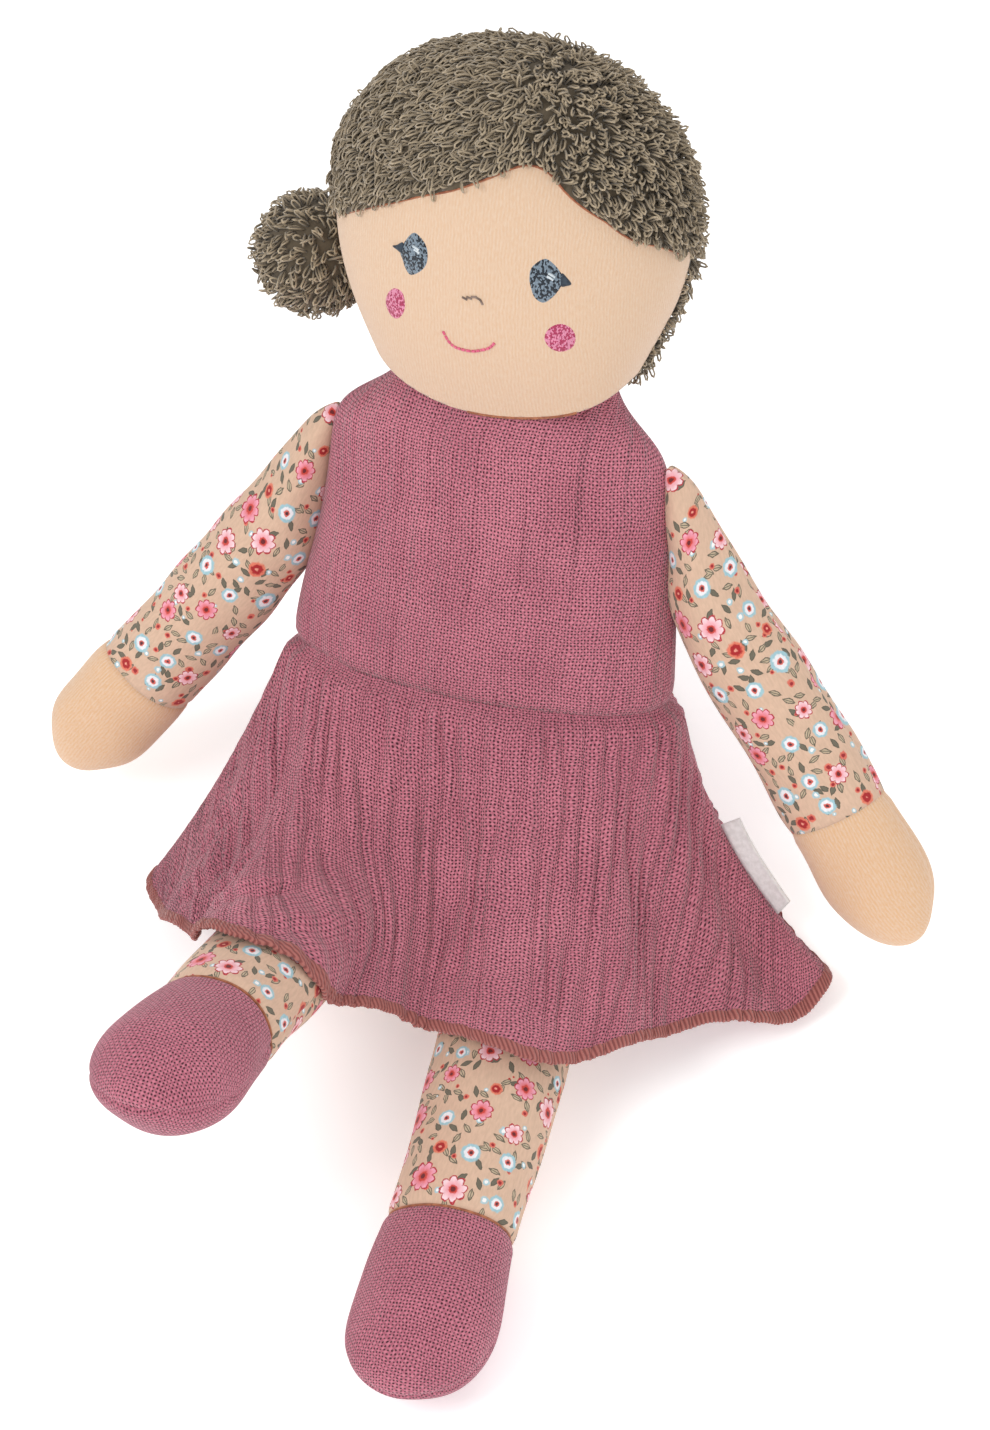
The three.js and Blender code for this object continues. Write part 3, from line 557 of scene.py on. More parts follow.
def overlock_thread(name, light, dark):
    """Close diagonal stitches that wrap an edge, painted dark as shade in the grooves between them.
    """
    material, tree, shader, place = new_material(name, 0.6, 0.2)
    slanted = add_node(tree, "ShaderNodeVectorMath", {
        0: place, 1: (1 / stitch_pitch, -0.45 / stitch_pitch, 0),
    }, operation="DOT_PRODUCT").outputs["Value"]
    angle = add_node(tree, MATH, {0: slanted, 1: 2 * math.pi}, operation="MULTIPLY").outputs[0]
    wave = add_node(tree, MATH, {0: angle}, operation="COSINE").outputs[0]
    tone = add_node(tree, RAMP, {
        "Value": wave, "From Min": -0.9, "From Max": 0.5,
    }).outputs["Result"]
    # painted shade: the grooves between the stitches take the dark colour and the ridges the light
    # one
    colour = add_node(tree, MIX, {
        0: tone, 6: linear(dark), 7: linear(light),
    }, data_type="RGBA").outputs[2]
    relief = add_node(tree, "ShaderNodeBump", {
        "Height": tone, "Strength": 0.6, "Distance": 0.18 * mm,
    }).outputs["Normal"]
    tree.links.new(colour, shader.inputs["Base Color"])
    tree.links.new(relief, shader.inputs["Normal"])
    return material


# the first colour is painted shade at the loops' roots; the other two are the yarn's own tones
terry = terry_yarn("taupe terry, looped cotton", "382f24", "9a8a72", "b7a58a")
eye_thread = speckled_thread("blue and navy embroidery", "232c35", "8292a0", 0.55, 0.46)
cheek_thread = speckled_thread("two pinks embroidery", "b93a62", "ee95b4", 0.5, 0.5)
navy_thread = plain_thread("navy thread", "3a4652", "27303a")
white_thread = plain_thread("white thread", "e8edf0", "b9c5cc")
nose_thread = plain_thread("grey-brown thread", "8d7a70", "6b594f")
mouth_thread = plain_thread("pink thread", "e0708c", "c94f70")
rust_thread = plain_thread("rust seam thread", "b0704e", "8a5038")
# the second colour is painted shade between the stitches
hem_thread_look = overlock_thread("coral overlock thread", "a9665f", "80423f")
satin = plain_thread("bare satin ribbon", "e9e7e6", "dcdad8", 0.4)
filling = plain_thread("white polyester filling", "f4f1ea", "e2ded4", 0.95)
pale_floor, tree, shader, _ = new_material("pale paper", 0.9)
shader.inputs["Base Color"].default_value = linear("ffffff")
shader.inputs["Emission Color"].default_value = linear("ffffff")
shader.inputs["Emission Strength"].default_value = 0.3
floor.data.materials.append(pale_floor)
print("materials:", len(bpy.data.materials))

# %% [markdown]
# ## Stuffed forms
# A stuffed limb is a tube of cloth that swells and tapers, closed at both ends. A ball is a
# good start: its parallels become the rows of the form, each with its own height, widths and
# depths, and three levels of subdivision round the rows into one smooth skin. The ball brings a
# map that wraps round it, which is stretched to real millimetres so that a print or a weave
# keeps its size.

# %% Helpers for stuffed forms


def read_points(piece):
    """The piece's vertices as rows of three, in metres."""
    points = np.empty(len(piece.data.vertices) * 3)
    piece.data.vertices.foreach_get("co", points)
    return points.reshape(-1, 3)


def write_points(piece, points):
    """Puts the vertices back."""
    piece.data.vertices.foreach_set("co", points.ravel())
    piece.data.update()


def read_normals(piece):
    """The vertices' normals as rows of three."""
    normals = np.empty(len(piece.data.vertices) * 3)
    piece.data.vertex_normals.foreach_get("vector", normals)
    return normals.reshape(-1, 3)


def read_corners(piece):
    """The vertex at each corner of each face."""
    corners = np.empty(len(piece.data.loops), int)
    piece.data.loops.foreach_get("vertex_index", corners)
    return corners


def read_map(piece):
    """The piece's map, a row of two for each corner."""
    wrap = np.empty(len(piece.data.loops) * 2)
    piece.data.uv_layers.active.data.foreach_get("uv", wrap)
    return wrap.reshape(-1, 2)


def write_map(piece, wrap):
    """Gives the piece its map, in millimetres of cloth."""
    piece.data.uv_layers.active.name = "UVMap"
    piece.data.uv_layers.active.data.foreach_set("uv", wrap.ravel())


def apply_modifiers(piece):
    """Applies each modifier in turn."""
    pick(piece)
    for modifier in list(piece.modifiers):
        bpy.ops.object.modifier_apply(modifier=modifier.name)


def round_off(piece, levels):
    """Subdivides the piece into a rounder one."""
    rounding = piece.modifiers.new("rounding", "SUBSURF")
    rounding.levels = rounding.render_levels = levels
    apply_modifiers(piece)


def shade_round(piece):
    """Shades the piece as one smooth skin."""
    pick(piece)
    bpy.ops.object.shade_smooth()


def sorted_rings(faces):
    """The corners of faces, each from its lowest on, in an order that is the same each run."""
    rings = []
    for face in faces:
        first = face.index(min(face))
        rings.append(face[first:] + face[:first])
    return sorted(rings)


def put_in_order(ball):
    """Puts a ball's vertices and faces in one order, since Blender's own varies by the run."""
    mesh, points = ball.data, read_points(ball)
    order = np.lexsort(points.round(4).T)
    place = np.argsort(order).tolist()
    rings = sorted_rings([place[i] for i in face.vertices] for face in mesh.polygons)
    mesh.clear_geometry()
    mesh.from_pydata(points[order].tolist(), [], rings)
    mesh.uv_layers.new(name="UVMap")


def copy_form(form, name):
    """A copy of a form with its own mesh."""
    copy = form.copy()
    copy.data = form.data.copy()
    copy.name = name
    bpy.context.scene.collection.objects.link(copy)
    return copy


def soft_noise(points, pitch, seed):
    """A smooth seeded noise from -1 to 1 that changes over about one pitch, in metres."""
    chance = np.random.default_rng(seed)
    total = np.zeros(len(points))
    waves = 7
    for _ in range(waves):
        direction = chance.normal(size=3)
        direction /= np.linalg.norm(direction)
        turns = chance.uniform(0.6, 1.6) / pitch
        total += np.sin(points @ direction * turns * 2 * math.pi + chance.uniform(0, 2 * math.pi))
    return total / math.sqrt(waves)


def stuffed_form(name, rows, sides, levels=3):
    """A ball whose parallels become rows: height, shift, half width, front, back and pinch."""
    rings = len(rows) + 1
    piece = start_from(
        bpy.ops.mesh.primitive_uv_sphere_add, name, segments=sides, ring_count=rings, radius=1,
    )
    put_in_order(piece)
    table = np.array(rows)
    swell = 3 / (2 + math.cos(2 * math.pi / sides))
    unit = read_points(piece)
    row = np.rint((1 - np.arccos(np.clip(unit[:, 2], -1, 1)) / math.pi) * rings).astype(int)
    pole = (row == 0) | (row == rings)
    values = table[np.clip(row - 1, 0, len(rows) - 1)]
    angle = np.arctan2(unit[:, 1], unit[:, 0])
    sine = np.sin(angle)
    depth = np.where(sine < 0, values[:, 3], values[:, 4])
    pinched = np.sign(sine) * np.abs(sine) ** values[:, 5]
    points = np.stack([
        values[:, 1] + np.where(pole, 0, values[:, 2] * swell * np.cos(angle)),
        np.where(pole, 0, depth * swell * pinched),
        values[:, 0],
    ], axis=1)
    write_points(piece, points * mm)

    # the map: lengths round each row and up the middle of the front and the back
    turn = np.rint((angle / (2 * math.pi) + 0.25) * sides).astype(int) % sides
    net = np.zeros((rings + 1, sides, 3))
    net[row[~pole], turn[~pole]] = points[~pole]
    net[0], net[rings] = points[row == 0], points[row == rings]
    wide, deep = (np.concatenate([[0], table[:, i], [0]]) for i in (2, 3))
    rise, shrink = (np.abs(np.gradient(way)) for way in (net[:, 0, 2], deep))
    slope = (shrink / np.hypot(rise, shrink)) ** 2
    side = np.where(np.arange(rings + 1) < rings / 2, -1, 1)
    steps = np.linalg.norm(np.roll(net, -1, axis=1) - net, axis=2).cumsum(axis=1)
    way_round = np.concatenate([np.zeros((rings + 1, 1)), steps], axis=1)
    way_up = np.linalg.norm(np.diff(net, axis=0), axis=2).cumsum(axis=0)
    way_up = np.concatenate([np.zeros((1, sides)), way_up])
    way_up -= way_up[rings // 2]
    corners = read_corners(piece)
    sizes = np.array([len(face.vertices) for face in piece.data.polygons])
    behind = np.array([face.center.y > 0 for face in piece.data.polygons]).repeat(sizes)
    level, place = row[corners], turn[corners]
    place = np.where(pole[corners], np.roll(place, -1), place)
    start = np.where(behind, sides // 2, 0)
    arc = way_round[level, place] - way_round[level, start]
    arc -= np.where(~behind & (place > sides // 2), way_round[level, -1], 0)
    turned = (place - start) * 2 * math.pi / sides
    arc = arc * (1 - slope[level]) + slope[level] * wide[level] * np.sin(turned)
    rest = side[level] * slope[level] * deep[level] * (1 - np.cos(turned))
    write_map(piece, np.stack([
        arc + np.where(behind, back_of_map, 0), way_up[level, start] + rest,
    ], axis=1))
    round_off(piece, levels)
    shade_round(piece)
    return piece


def crease(piece, middle, normal, depth, width):
    """Draws the skin in along a seam plane, as a row of stitches does. Sizes in mm."""
    points = read_points(piece)
    away = (points - np.array(middle)) @ np.array(normal) / mm
    points -= read_normals(piece) * (depth * mm * np.exp(-((away / width) ** 2)))[:, None]
    write_points(piece, points)


def wrinkle(piece, pitch, depth, seed):
    """Slight unevenness of stuffing under cloth. Sizes in mm."""
    points = read_points(piece)
    points += read_normals(piece) * (depth * mm * soft_noise(points, pitch * mm, seed))[:, None]
    write_points(piece, points)


def cut_part(form, name, middle, normal, turn_in=1.2):
    """A copy of the form on the side that the normal points at, its raw edge turned in."""
    part = copy_form(form, name)
    pick(part)
    bpy.ops.object.mode_set(mode="EDIT")
    bpy.ops.mesh.select_all(action="SELECT")
    bpy.ops.mesh.bisect(plane_co=middle, plane_no=normal, clear_inner=True)
    bpy.ops.mesh.extrude_edges_move(TRANSFORM_OT_translate={"value": (0, 0, 0)})
    bpy.ops.object.mode_set(mode="OBJECT")
    picked = np.zeros(len(part.data.vertices), bool)
    part.data.vertices.foreach_get("select", picked)
    points = read_points(part)
    centre = points[picked].mean(axis=0)
    inward = centre - points[picked]
    reach = np.linalg.norm(inward, axis=1, keepdims=True)
    points[picked] += inward / np.maximum(reach, 1e-6) * turn_in * mm
    write_points(part, points)
    return part


def drop(piece):
    """Removes a form that was only cut up."""
    bpy.data.objects.remove(piece, do_unlink=True)


def is_inside(form, point):
    """True where a straight line from the point leaves the closed form an odd number of times."""
    inside, aim = False, Vector((0.31, 0.22, 0.93))
    hit, spot, _, _ = form.ray_cast(point, aim)
    while hit:
        inside = not inside
        hit, spot, _, _ = form.ray_cast(spot + aim * 1e-6, aim)
    return inside


def fill_form(form, name, body, fullness, *nodes):
    """The filling: a copy of the form with fewer faces, drawn in under its cloth."""
    inner = copy_form(form, name)
    fewer = inner.modifiers.new("fewer faces", "DECIMATE")
    fewer.ratio = filling_detail
    apply_modifiers(inner)
    bpy.context.view_layer.update()
    points, outs = read_points(inner), read_normals(inner)
    room = np.full(len(points), filling_depth)
    for i, (point, out) in enumerate(zip(points, outs)):
        hit, far, _, _ = inner.ray_cast(Vector(point - out * ray_start * mm), Vector(-out))
        if hit:
            room[i] = min(filling_depth, thin_share * (far - Vector(point)).length / mm)
    drawn_in = points - outs * room[:, None] * mm
    for i, point in enumerate(drawn_in):
        if not is_inside(form, Vector(point)):
            near = np.linalg.norm(points - points[i], axis=1) < near_by * mm
            inwards = Vector(points[near].mean(axis=0) - points[i]).normalized()
            drawn_in[i] = Vector(points[i]) + inwards * least_depth * mm
    write_points(inner, drawn_in)
    dress(inner, body, filling, "stuffing", *nodes, fill=fullness)


def paint(piece, material):
    """Gives a piece its cloth."""
    piece.data.materials.clear()
    piece.data.materials.append(material)


def dress(piece, body, material, slot, *nodes, fill=None):
    """Gives a piece its cloth, its body and the solids it stands for; how full it is stuffed is not
    used.
    """
    paint(piece, material)
    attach(piece, body)
    if nodes:
        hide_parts(*nodes)
    print(f"{piece.name}: {len(piece.data.polygons)} faces on {body}")


back_of_map = 300
filling_detail, filling_depth, least_depth = 0.15, 1.7, 0.5
thin_share, near_by, ray_start = 0.3, 12, 0.02
print("the filling is", filling_depth, "mm under the cloth, or less where the limb is thin")

# %% Where body, head and limbs are
recline = math.radians(27)
seat_height, bottom_drop = 22.6, 26.0
neck_height, head_middle = 126.0, 45.0
lean_back = Matrix.Rotation(-recline, 4, "X")
body_place = Matrix.Translation((0, 0, seat_height * mm)) @ lean_back
body_place = body_place @ Matrix.Translation((0, 0, -bottom_drop * mm))
head_place = body_place @ Matrix.Translation((0, 0, neck_height * mm))
print("body leans back", round(math.degrees(recline)), "degrees")

# %% [markdown]
# ### Body
# The body is one stuffed bag. Muslin covers it above the waist seam and jersey below. Its
# bottom is pressed flat where it sits, and a row of stitches draws it in at the waist. A dome
# at its top goes up into the head, so that the neck stays closed when the head nods.

# %% The stuffed body, its bodice and pants
body_length, body_half_width, body_half_depth = 132.5, 47.5, 28.3
waist_height, neck_radius, body_fill = 63.6, 16.2, 0.8
body_shares = [
    (0, 0.632, 0.141, 0.177), (0.015, 0.779, 0.318, 0.6), (0.053, 0.905, 0.477, 0.95),
    (0.113, 0.979, 0.601, 1.16), (0.204, 1, 0.724, 1.2), (0.332, 0.989, 0.83, 1.04),
    (0.48, 0.977, 0.784, 0.784), (0.619, 0.947, 0.777, 0.76), (0.74, 0.899, 0.717, 0.707),
    (0.845, 0.855, 0.636, 0.636), (0.913, 0.825, 0.58, 0.587), (0.951, 0.76, 0.555, 0.555),
]
# the bag is not even: each swell is a width in mm, and its middle and spread along the body
waist_swell, right_swell, left_hollow = (0.6, 0.5, 0.2), (2.6, 0.93, 0.09), (0.8, 0.96, 0.06)
neck_dome = ((24, 28.0), (46, 25.6), (66, 24.0), (84, 22.4))
body_rows = []
for h, w, f, b in body_shares:
    fuller, right_more, left_less = (
        size * math.exp(-((h - middle) / spread) ** 2)
        for size, middle, spread in (waist_swell, right_swell, left_hollow)
    )
    body_rows.append((
        h * body_length, -fuller - (right_more + left_less) / 2,
        w * body_half_width + fuller + (right_more - left_less) / 2,
        f * body_half_depth, b * body_half_depth, 1,
    ))
for rise, half_width in neck_dome:
    turn = math.radians(rise)
    depth = neck_radius * math.cos(turn)
    body_rows.append((neck_height + neck_radius * math.sin(turn), 0, half_width, depth, depth, 1))
body_form = stuffed_form("body_form", body_rows, 24)
wrinkle(body_form, 26, 0.35, 3)
crease(body_form, (0, 0, waist_height * mm), (0, 0, 1), 1.5, 1.6)
body_form.data.transform(body_place)
points = read_points(body_form)
points[:, 2] = np.maximum(points[:, 2], 0)
write_points(body_form, points)

waist_middle = body_place @ Vector((0, 0, waist_height * mm))
along_body = (lean_back @ Vector((0, 0, 1))).normalized()
bodice = cut_part(body_form, "bodice", waist_middle, along_body)
dress(bodice, "torso", rose_muslin, "muslin", "bodice_front", "bodice_back", fill=body_fill)
pants = cut_part(body_form, "pants", waist_middle, -along_body)
crease(pants, waist_middle, along_body, 1.8, 9)
dress(pants, "torso", flower_jersey, "jersey", "pants_front", "pants_back", fill=body_fill)
fill_form(body_form, "body_filling", "torso", body_fill, "torso_stuffing")
drop(body_form)

# %% [markdown]
# ### Arms and legs
# Each limb is sewn flat into the body and filled loosely there, then swells towards its end.
# Velour hands join the sleeves at the wrist seam, and muslin shoes join the leggings at the
# ankle seam. The arm's inner end is pressed against the leaning side seam of the body.

# %% Limb rows
arm_length, arm_half_width, arm_half_depth, cuff_along = 118.0, 13.2, 11.0, 83.0
arm_shares = [
    (-0.064, 0.45, 0.068, 0.1, 1), (-0.037, 0.44, 0.2, 0.22, 1.8),
    (0, 0.4, 0.33, 0.42, 2.2), (0.048, 0.3, 0.46, 0.64, 2.2),
    (0.105, 0.17, 0.6, 0.8, 2), (0.169, 0.03, 0.745, 0.92, 1.7),
    (0.237, -0.065, 0.85, 0.982, 1.3), (0.322, -0.09, 0.905, 1, 1.05),
    (0.508, -0.045, 0.94, 0.982, 1), (0.695, 0, 0.95, 0.927, 1), (0.831, 0.02, 1, 0.964, 1),
    (0.915, 0.04, 0.93, 0.855, 1), (0.966, 0.05, 0.68, 0.6, 1), (0.998, 0.05, 0.4, 0.364, 1),
    (1.01, 0.05, 0.14, 0.136, 1),
]
leg_half_width, leg_half_depth, ankle_along = 18.0, 14.0, 89.5
leg_shares = [
    (-0.004, 0, 0.75, 0.045, 1.6), (0.039, 0, 0.806, 0.18, 1.5), (0.093, 0, 0.85, 0.46, 1.3),
    (0.186, 0, 0.88, 0.82, 1.1), (0.349, 0, 0.875, 0.95, 1), (0.527, 0, 0.84, 0.886, 1),
    (0.674, 0, 0.81, 0.87, 1), (0.736, 0, 0.84, 0.9, 1), (0.822, 0, 0.915, 0.98, 1),
    (0.899, 0, 0.945, 0.97, 1), (0.955, 0, 0.83, 0.76, 1), (0.991, 0, 0.58, 0.47, 1),
    (1.01, 0, 0.32, 0.27, 1), (1.018, 0, 0.11, 0.1, 1),
]
limb_bends = {
    "arm_right": ((0, 0.5, 0.85, 1), (-0.1, -0.07, 0.07, 0.12)),
    "arm_left": ((0, 0.12, 0.3, 0.5, 0.8, 1), (-0.2, -0.19, -0.07, 0.04, 0.11, 0.12)),
    "leg_right": ((0, 0.5, 0.75, 0.9, 1.02), (0, -0.04, -0.07, -0.09, -0.03)),
    "leg_left": (
        (0, 0.15, 0.35, 0.5, 0.7, 0.85, 0.95, 1.02), (0, 0.03, 0.09, 0.08, 0.01, 0, -0.07, -0.11),
    ),
}
seam_lean, seam_bite, limb_fill = math.radians(8.32), 2.2, 0.7
print("rows:", len(arm_shares), "for an arm,", len(leg_shares), "for a leg")


def limb_rows(shares, length, half_width, half_depth, hand, bend):
    """Rows from the limb's far end up to its seam. bend adds to the sideways shares."""
    return [
        (
            -a * length, hand * (s + float(np.interp(a, *bend))) * half_width, w * half_width,
            d * half_depth, d * half_depth, p,
        )
        for a, s, w, d, p in reversed(shares)
    ]


def add_limb(side, hand, joint, rows, turns, seam_along, upper, lower, seed, shift=(0, 0, 0)):
    """One stuffed limb as two pieces that meet at its cuff or ankle seam."""
    place = Matrix.Translation(Vector(joints[joint]["pos_m"]) + Vector(shift)) @ lean_back
    for turn, axis in turns:
        place = place @ Matrix.Rotation(turn, 4, axis)
    limb_places[joint] = place
    form = stuffed_form(f"limb_form_{side}", rows, 16)
    wrinkle(form, 22, 0.35, seed)
    crease(form, (0, 0, 0), (0, 1, 0), 0.45, 0.8)
    crease(form, (0, 0, -seam_along * mm), (0, 0, 1), 0.9, 1.1)
    form.data.transform(place)
    points = read_points(form)
    points[:, 2] = np.maximum(points[:, 2], 0)
    if joint.startswith("shoulder"):
        along_seam = (lean_back @ Matrix.Rotation(-hand * seam_lean, 4, "Y")).to_3x3()
        out = np.array(along_seam @ Vector((hand, 0, 0)))
        beyond = (points - np.array(joints[joint]["pos_m"])) @ out + seam_bite * mm
        points -= np.minimum(beyond, 0)[:, None] * out
    write_points(form, points)
    seam = place @ Vector((0, 0, -seam_along * mm))
    towards = (place.to_3x3() @ Vector((0, 0, 1))).normalized()
    for (name, material, slot, nodes), direction in ((upper, towards), (lower, -towards)):
        part = cut_part(form, name, seam, direction)
        dress(part, joints[joint]["child"], material, slot, *nodes, fill=limb_fill)
    limb = "arm" if joint.startswith("shoulder") else "leg"
    if limb == "leg":
        bpy.context.view_layer.update()
        ring = []
        for turn in np.linspace(0, 2 * math.pi, 61):
            aim = place.to_3x3() @ Vector((math.cos(turn), math.sin(turn), 0))
            _, spot, out, _ = form.ray_cast(seam, aim)
            ring.append((spot, out))
        ankle_rings[side] = tuple(np.array(part) for part in zip(*ring))
    fill_form(
        form, f"{limb}_filling_{side}", joints[joint]["child"], limb_fill,
        f"{limb}_stuffing_{side}",
    )
    drop(form)


# %% Both arms and both legs
ankle_rings, limb_places = {}, {}
spread = {"right": math.radians(32.5), "left": math.radians(33.7)}
raise_leg = {"right": math.radians(90.6), "left": math.radians(59.7)}
splay = {"right": math.radians(3.8), "left": math.radians(4.8)}
arm_lengths = {"right": arm_length - 1.4, "left": arm_length + 0.8}
leg_lengths = {"right": 127.5, "left": 129.0}
hip_shift = {"right": Vector((0, 0, 0)), "left": Vector((2.2, 0, 0)) * mm}
for seed, (side, hand) in enumerate((("right", -1), ("left", 1))):
    add_limb(
        side, hand, f"shoulder_{side}",
        limb_rows(
            arm_shares, arm_lengths[side], arm_half_width, arm_half_depth, hand,
            limb_bends[f"arm_{side}"],
        ),
        [(-hand * spread[side], "Y")], cuff_along,
        (f"sleeve_cloth_{side}", flower_jersey, "jersey", [f"sleeve_{side}"]),
        (f"hand_cloth_{side}", hand_velour, "hand_velour", [f"hand_{side}"]),
        11 + seed,
    )
    add_limb(
        side, hand, f"hip_{side}",
        limb_rows(
            leg_shares, leg_lengths[side], leg_half_width, leg_half_depth, hand,
            limb_bends[f"leg_{side}"],
        ),
        [(-raise_leg[side], "X"), (-hand * splay[side], "Y")], ankle_along,
        (f"legging_cloth_{side}", flower_jersey, "jersey", [f"legging_{side}"]),
        (f"shoe_cloth_{side}", shoe_muslin, "muslin", [f"shoe_{side}"]),
        21 + seed, hip_shift[side],
    )

# %% [markdown]
# ## Head
# The head is a flattened stuffed ball. Its lower opening is scooped out by the round dome of
# the body, which a boolean modifier cuts. One plane cuts the face and fringe from the back
# of the head, where the side seam is.

# %% The stuffed head
head_half_height, head_half_width, head_half_depth = 43.5, 41.5, 29.5
face_seam, scoop_radius, head_fill = 2.0, neck_radius + 0.25, 0.85
head_shares = [
    (-1.023, -0.8, 0.64, 0.373, 0.373), (-0.885, -1.1, 0.655, 0.515, 0.542),
    (-0.713, -1.4, 0.725, 0.678, 0.746), (-0.46, -1.8, 0.85, 0.868, 0.915),
    (-0.161, -2.1, 0.967, 0.969, 1.017), (0.138, -2.2, 0.995, 1, 1.034),
    (0.414, -2.7, 0.945, 0.959, 0.983), (0.644, -3.3, 0.815, 0.834, 0.847),
    (0.828, -3.9, 0.615, 0.637, 0.644), (0.943, -3.6, 0.365, 0.39, 0.39),
    (0.995, -3.3, 0.12, 0.136, 0.136),
]
head_rows = [
    (
        head_middle + h * head_half_height, shift,
        w * head_half_width, f * head_half_depth, b * head_half_depth,
        1 - 0.32 * min(max((-h - 0.1) / 0.7, 0), 1),
    )
    for h, shift, w, f, b in head_shares
]
head_form = stuffed_form("head_form", head_rows, 28)
wrinkle(head_form, 40, 0.3, 5)
drum = start_from(
    bpy.ops.mesh.primitive_cylinder_add, "drum",
    vertices=128, radius=scoop_radius * mm, depth=120 * mm, rotation=(0, math.pi / 2, 0),
)
scoop = head_form.modifiers.new("neck opening", "BOOLEAN")
scoop.object = drum
scoop.operation = "DIFFERENCE"
apply_modifiers(head_form)
drop(drum)
points = read_points(head_form)
radius = np.hypot(points[:, 1], points[:, 2]) / mm
on_rim = (np.abs(radius - scoop_radius) < 0.05) & (points[:, 1] < 0)
neck_rim = []
for across in np.arange(-26, 26.5, 1.0) * mm:
    near = on_rim & (np.abs(points[:, 0] - across) < 1.2 * mm)
    if near.any():
        neck_rim.append(points[near][np.argmin(points[near][:, 2])])
neck_rim = np.array(neck_rim)
print("head form:", len(head_form.data.polygons), "faces,", len(neck_rim), "points along the neck")

# %% The hairline, and height above it
hairline = np.array([
    (-60, -8), (-36.9, 2.6), (-32.6, 5.1), (-27.5, 7.8), (-21, 10.9), (-15.5, 13.5), (-9.6, 15.7),
    (-4.7, 18), (-0.4, 20.2), (2.6, 21.9), (5.1, 23.1), (7.6, 23.7), (10.3, 23.2), (12.7, 21.9),
    (15.7, 19), (19.1, 16.3), (22.3, 14.2), (24.9, 12.6), (27.5, 10.4), (30.5, 8.3), (34.1, 6.7),
    (36.2, 5.3), (38.3, 3.2), (60, -12),
])
parting = 7.6
line_across, line_height = hairline[:, 0], hairline[:, 1] + head_middle


def above_hairline(points):
    """How far points of the head, in its own frame, are above the hairline, in metres."""
    return points[:, 2] - np.interp(points[:, 0] / mm, line_across, line_height) * mm


def keep_faces(piece, keep):
    """Deletes the faces whose middles the test turns down."""
    pick(piece)
    bpy.ops.object.mode_set(mode="OBJECT")
    middles = np.empty(len(piece.data.polygons) * 3)
    piece.data.polygons.foreach_get("center", middles)
    chosen = ~keep(middles.reshape(-1, 3))
    for kind in (piece.data.vertices, piece.data.edges):
        kind.foreach_set("select", np.zeros(len(kind), bool))
    piece.data.polygons.foreach_set("select", chosen)
    bpy.ops.object.mode_set(mode="EDIT")
    bpy.ops.mesh.select_mode(type="FACE")
    bpy.ops.mesh.delete(type="FACE")
    bpy.ops.mesh.select_mode(type="VERT")
    bpy.ops.object.mode_set(mode="OBJECT")


seam_middle = (0, face_seam * mm, head_middle * mm)
face = cut_part(head_form, "face", seam_middle, (0, -1, 0))
fringe = cut_part(head_form, "hair_ground_front", seam_middle, (0, -1, 0), 0)
keep_faces(fringe, lambda middles: above_hairline(middles) > 0)
points = read_points(fringe)
near = np.abs(above_hairline(points)) < 1.4 * mm
points[near, 2] -= above_hairline(points)[near]
write_points(fringe, points)
points = points + read_normals(fringe) * 0.45 * mm
write_points(fringe, points)
crown = cut_part(head_form, "hair_ground_back", seam_middle, (0, 1, 0))
print("face, fringe and crown are cut")

# %% [markdown]
# ### Bun
# The bun is a small stuffed ball of the same terry, gathered to a neck on the doll's right.

# %% The bun's stuffed ball
bun_reach, bun_radius, bun_slope, bun_fill = 27.0, 13.2, math.radians(14), 0.8
bun_shares = [
    (0.03, 0.12), (0.06, 0.28), (0.11, 0.5), (0.2, 0.76), (0.36, 0.95), (0.55, 1), (0.75, 0.9),
    (0.9, 0.62), (0.98, 0.27), (1, 0.08),
]
bun_rows = [
    (r * bun_reach, 0, w * bun_radius, w * bun_radius, w * bun_radius, 1) for r, w in bun_shares
]
bun_ground = stuffed_form("bun_ground", bun_rows, 16, 2)
bun_root = Vector(joints["bun_flop"]["pos_m"]) + Vector((-0.5, 0, -1.8)) * mm
bun_place = Matrix.Translation(bun_root) @ lean_back
bun_place = bun_place @ Matrix.Rotation(-math.pi / 2 - bun_slope, 4, "Y")
bun_ground.data.transform(bun_place)
print("bun:", len(bun_ground.data.polygons), "faces")

# %% [markdown]
# ### Terry loops
# Terry shows single loops of yarn, about 3 mm long and a millimetre wide. One loop is
# modelled from a ring, and then copied over the ground cloth: each copy stands on its own
# place, leans the way the hair is combed, and is turned and sized a little differently. The
# loops on the doll's right lie flat, and those on its left stand up.

# %% One loop of yarn
yarn_share = 0.3
ring = start_from(
    bpy.ops.mesh.primitive_torus_add, "ring",
    major_segments=8, minor_segments=3, major_radius=1, minor_radius=yarn_share,
)
ring_points = read_points(ring)
ring_faces = np.array([list(face.vertices) for face in ring.data.polygons])
drop(ring)
ring_turn = np.arctan2(ring_points[:, 0], -ring_points[:, 1])
ring_out = (np.hypot(ring_points[:, 0], ring_points[:, 1]) - 1) / yarn_share
ring_side = ring_points[:, 2] / yarn_share
print("one loop:", len(ring_faces), "faces")


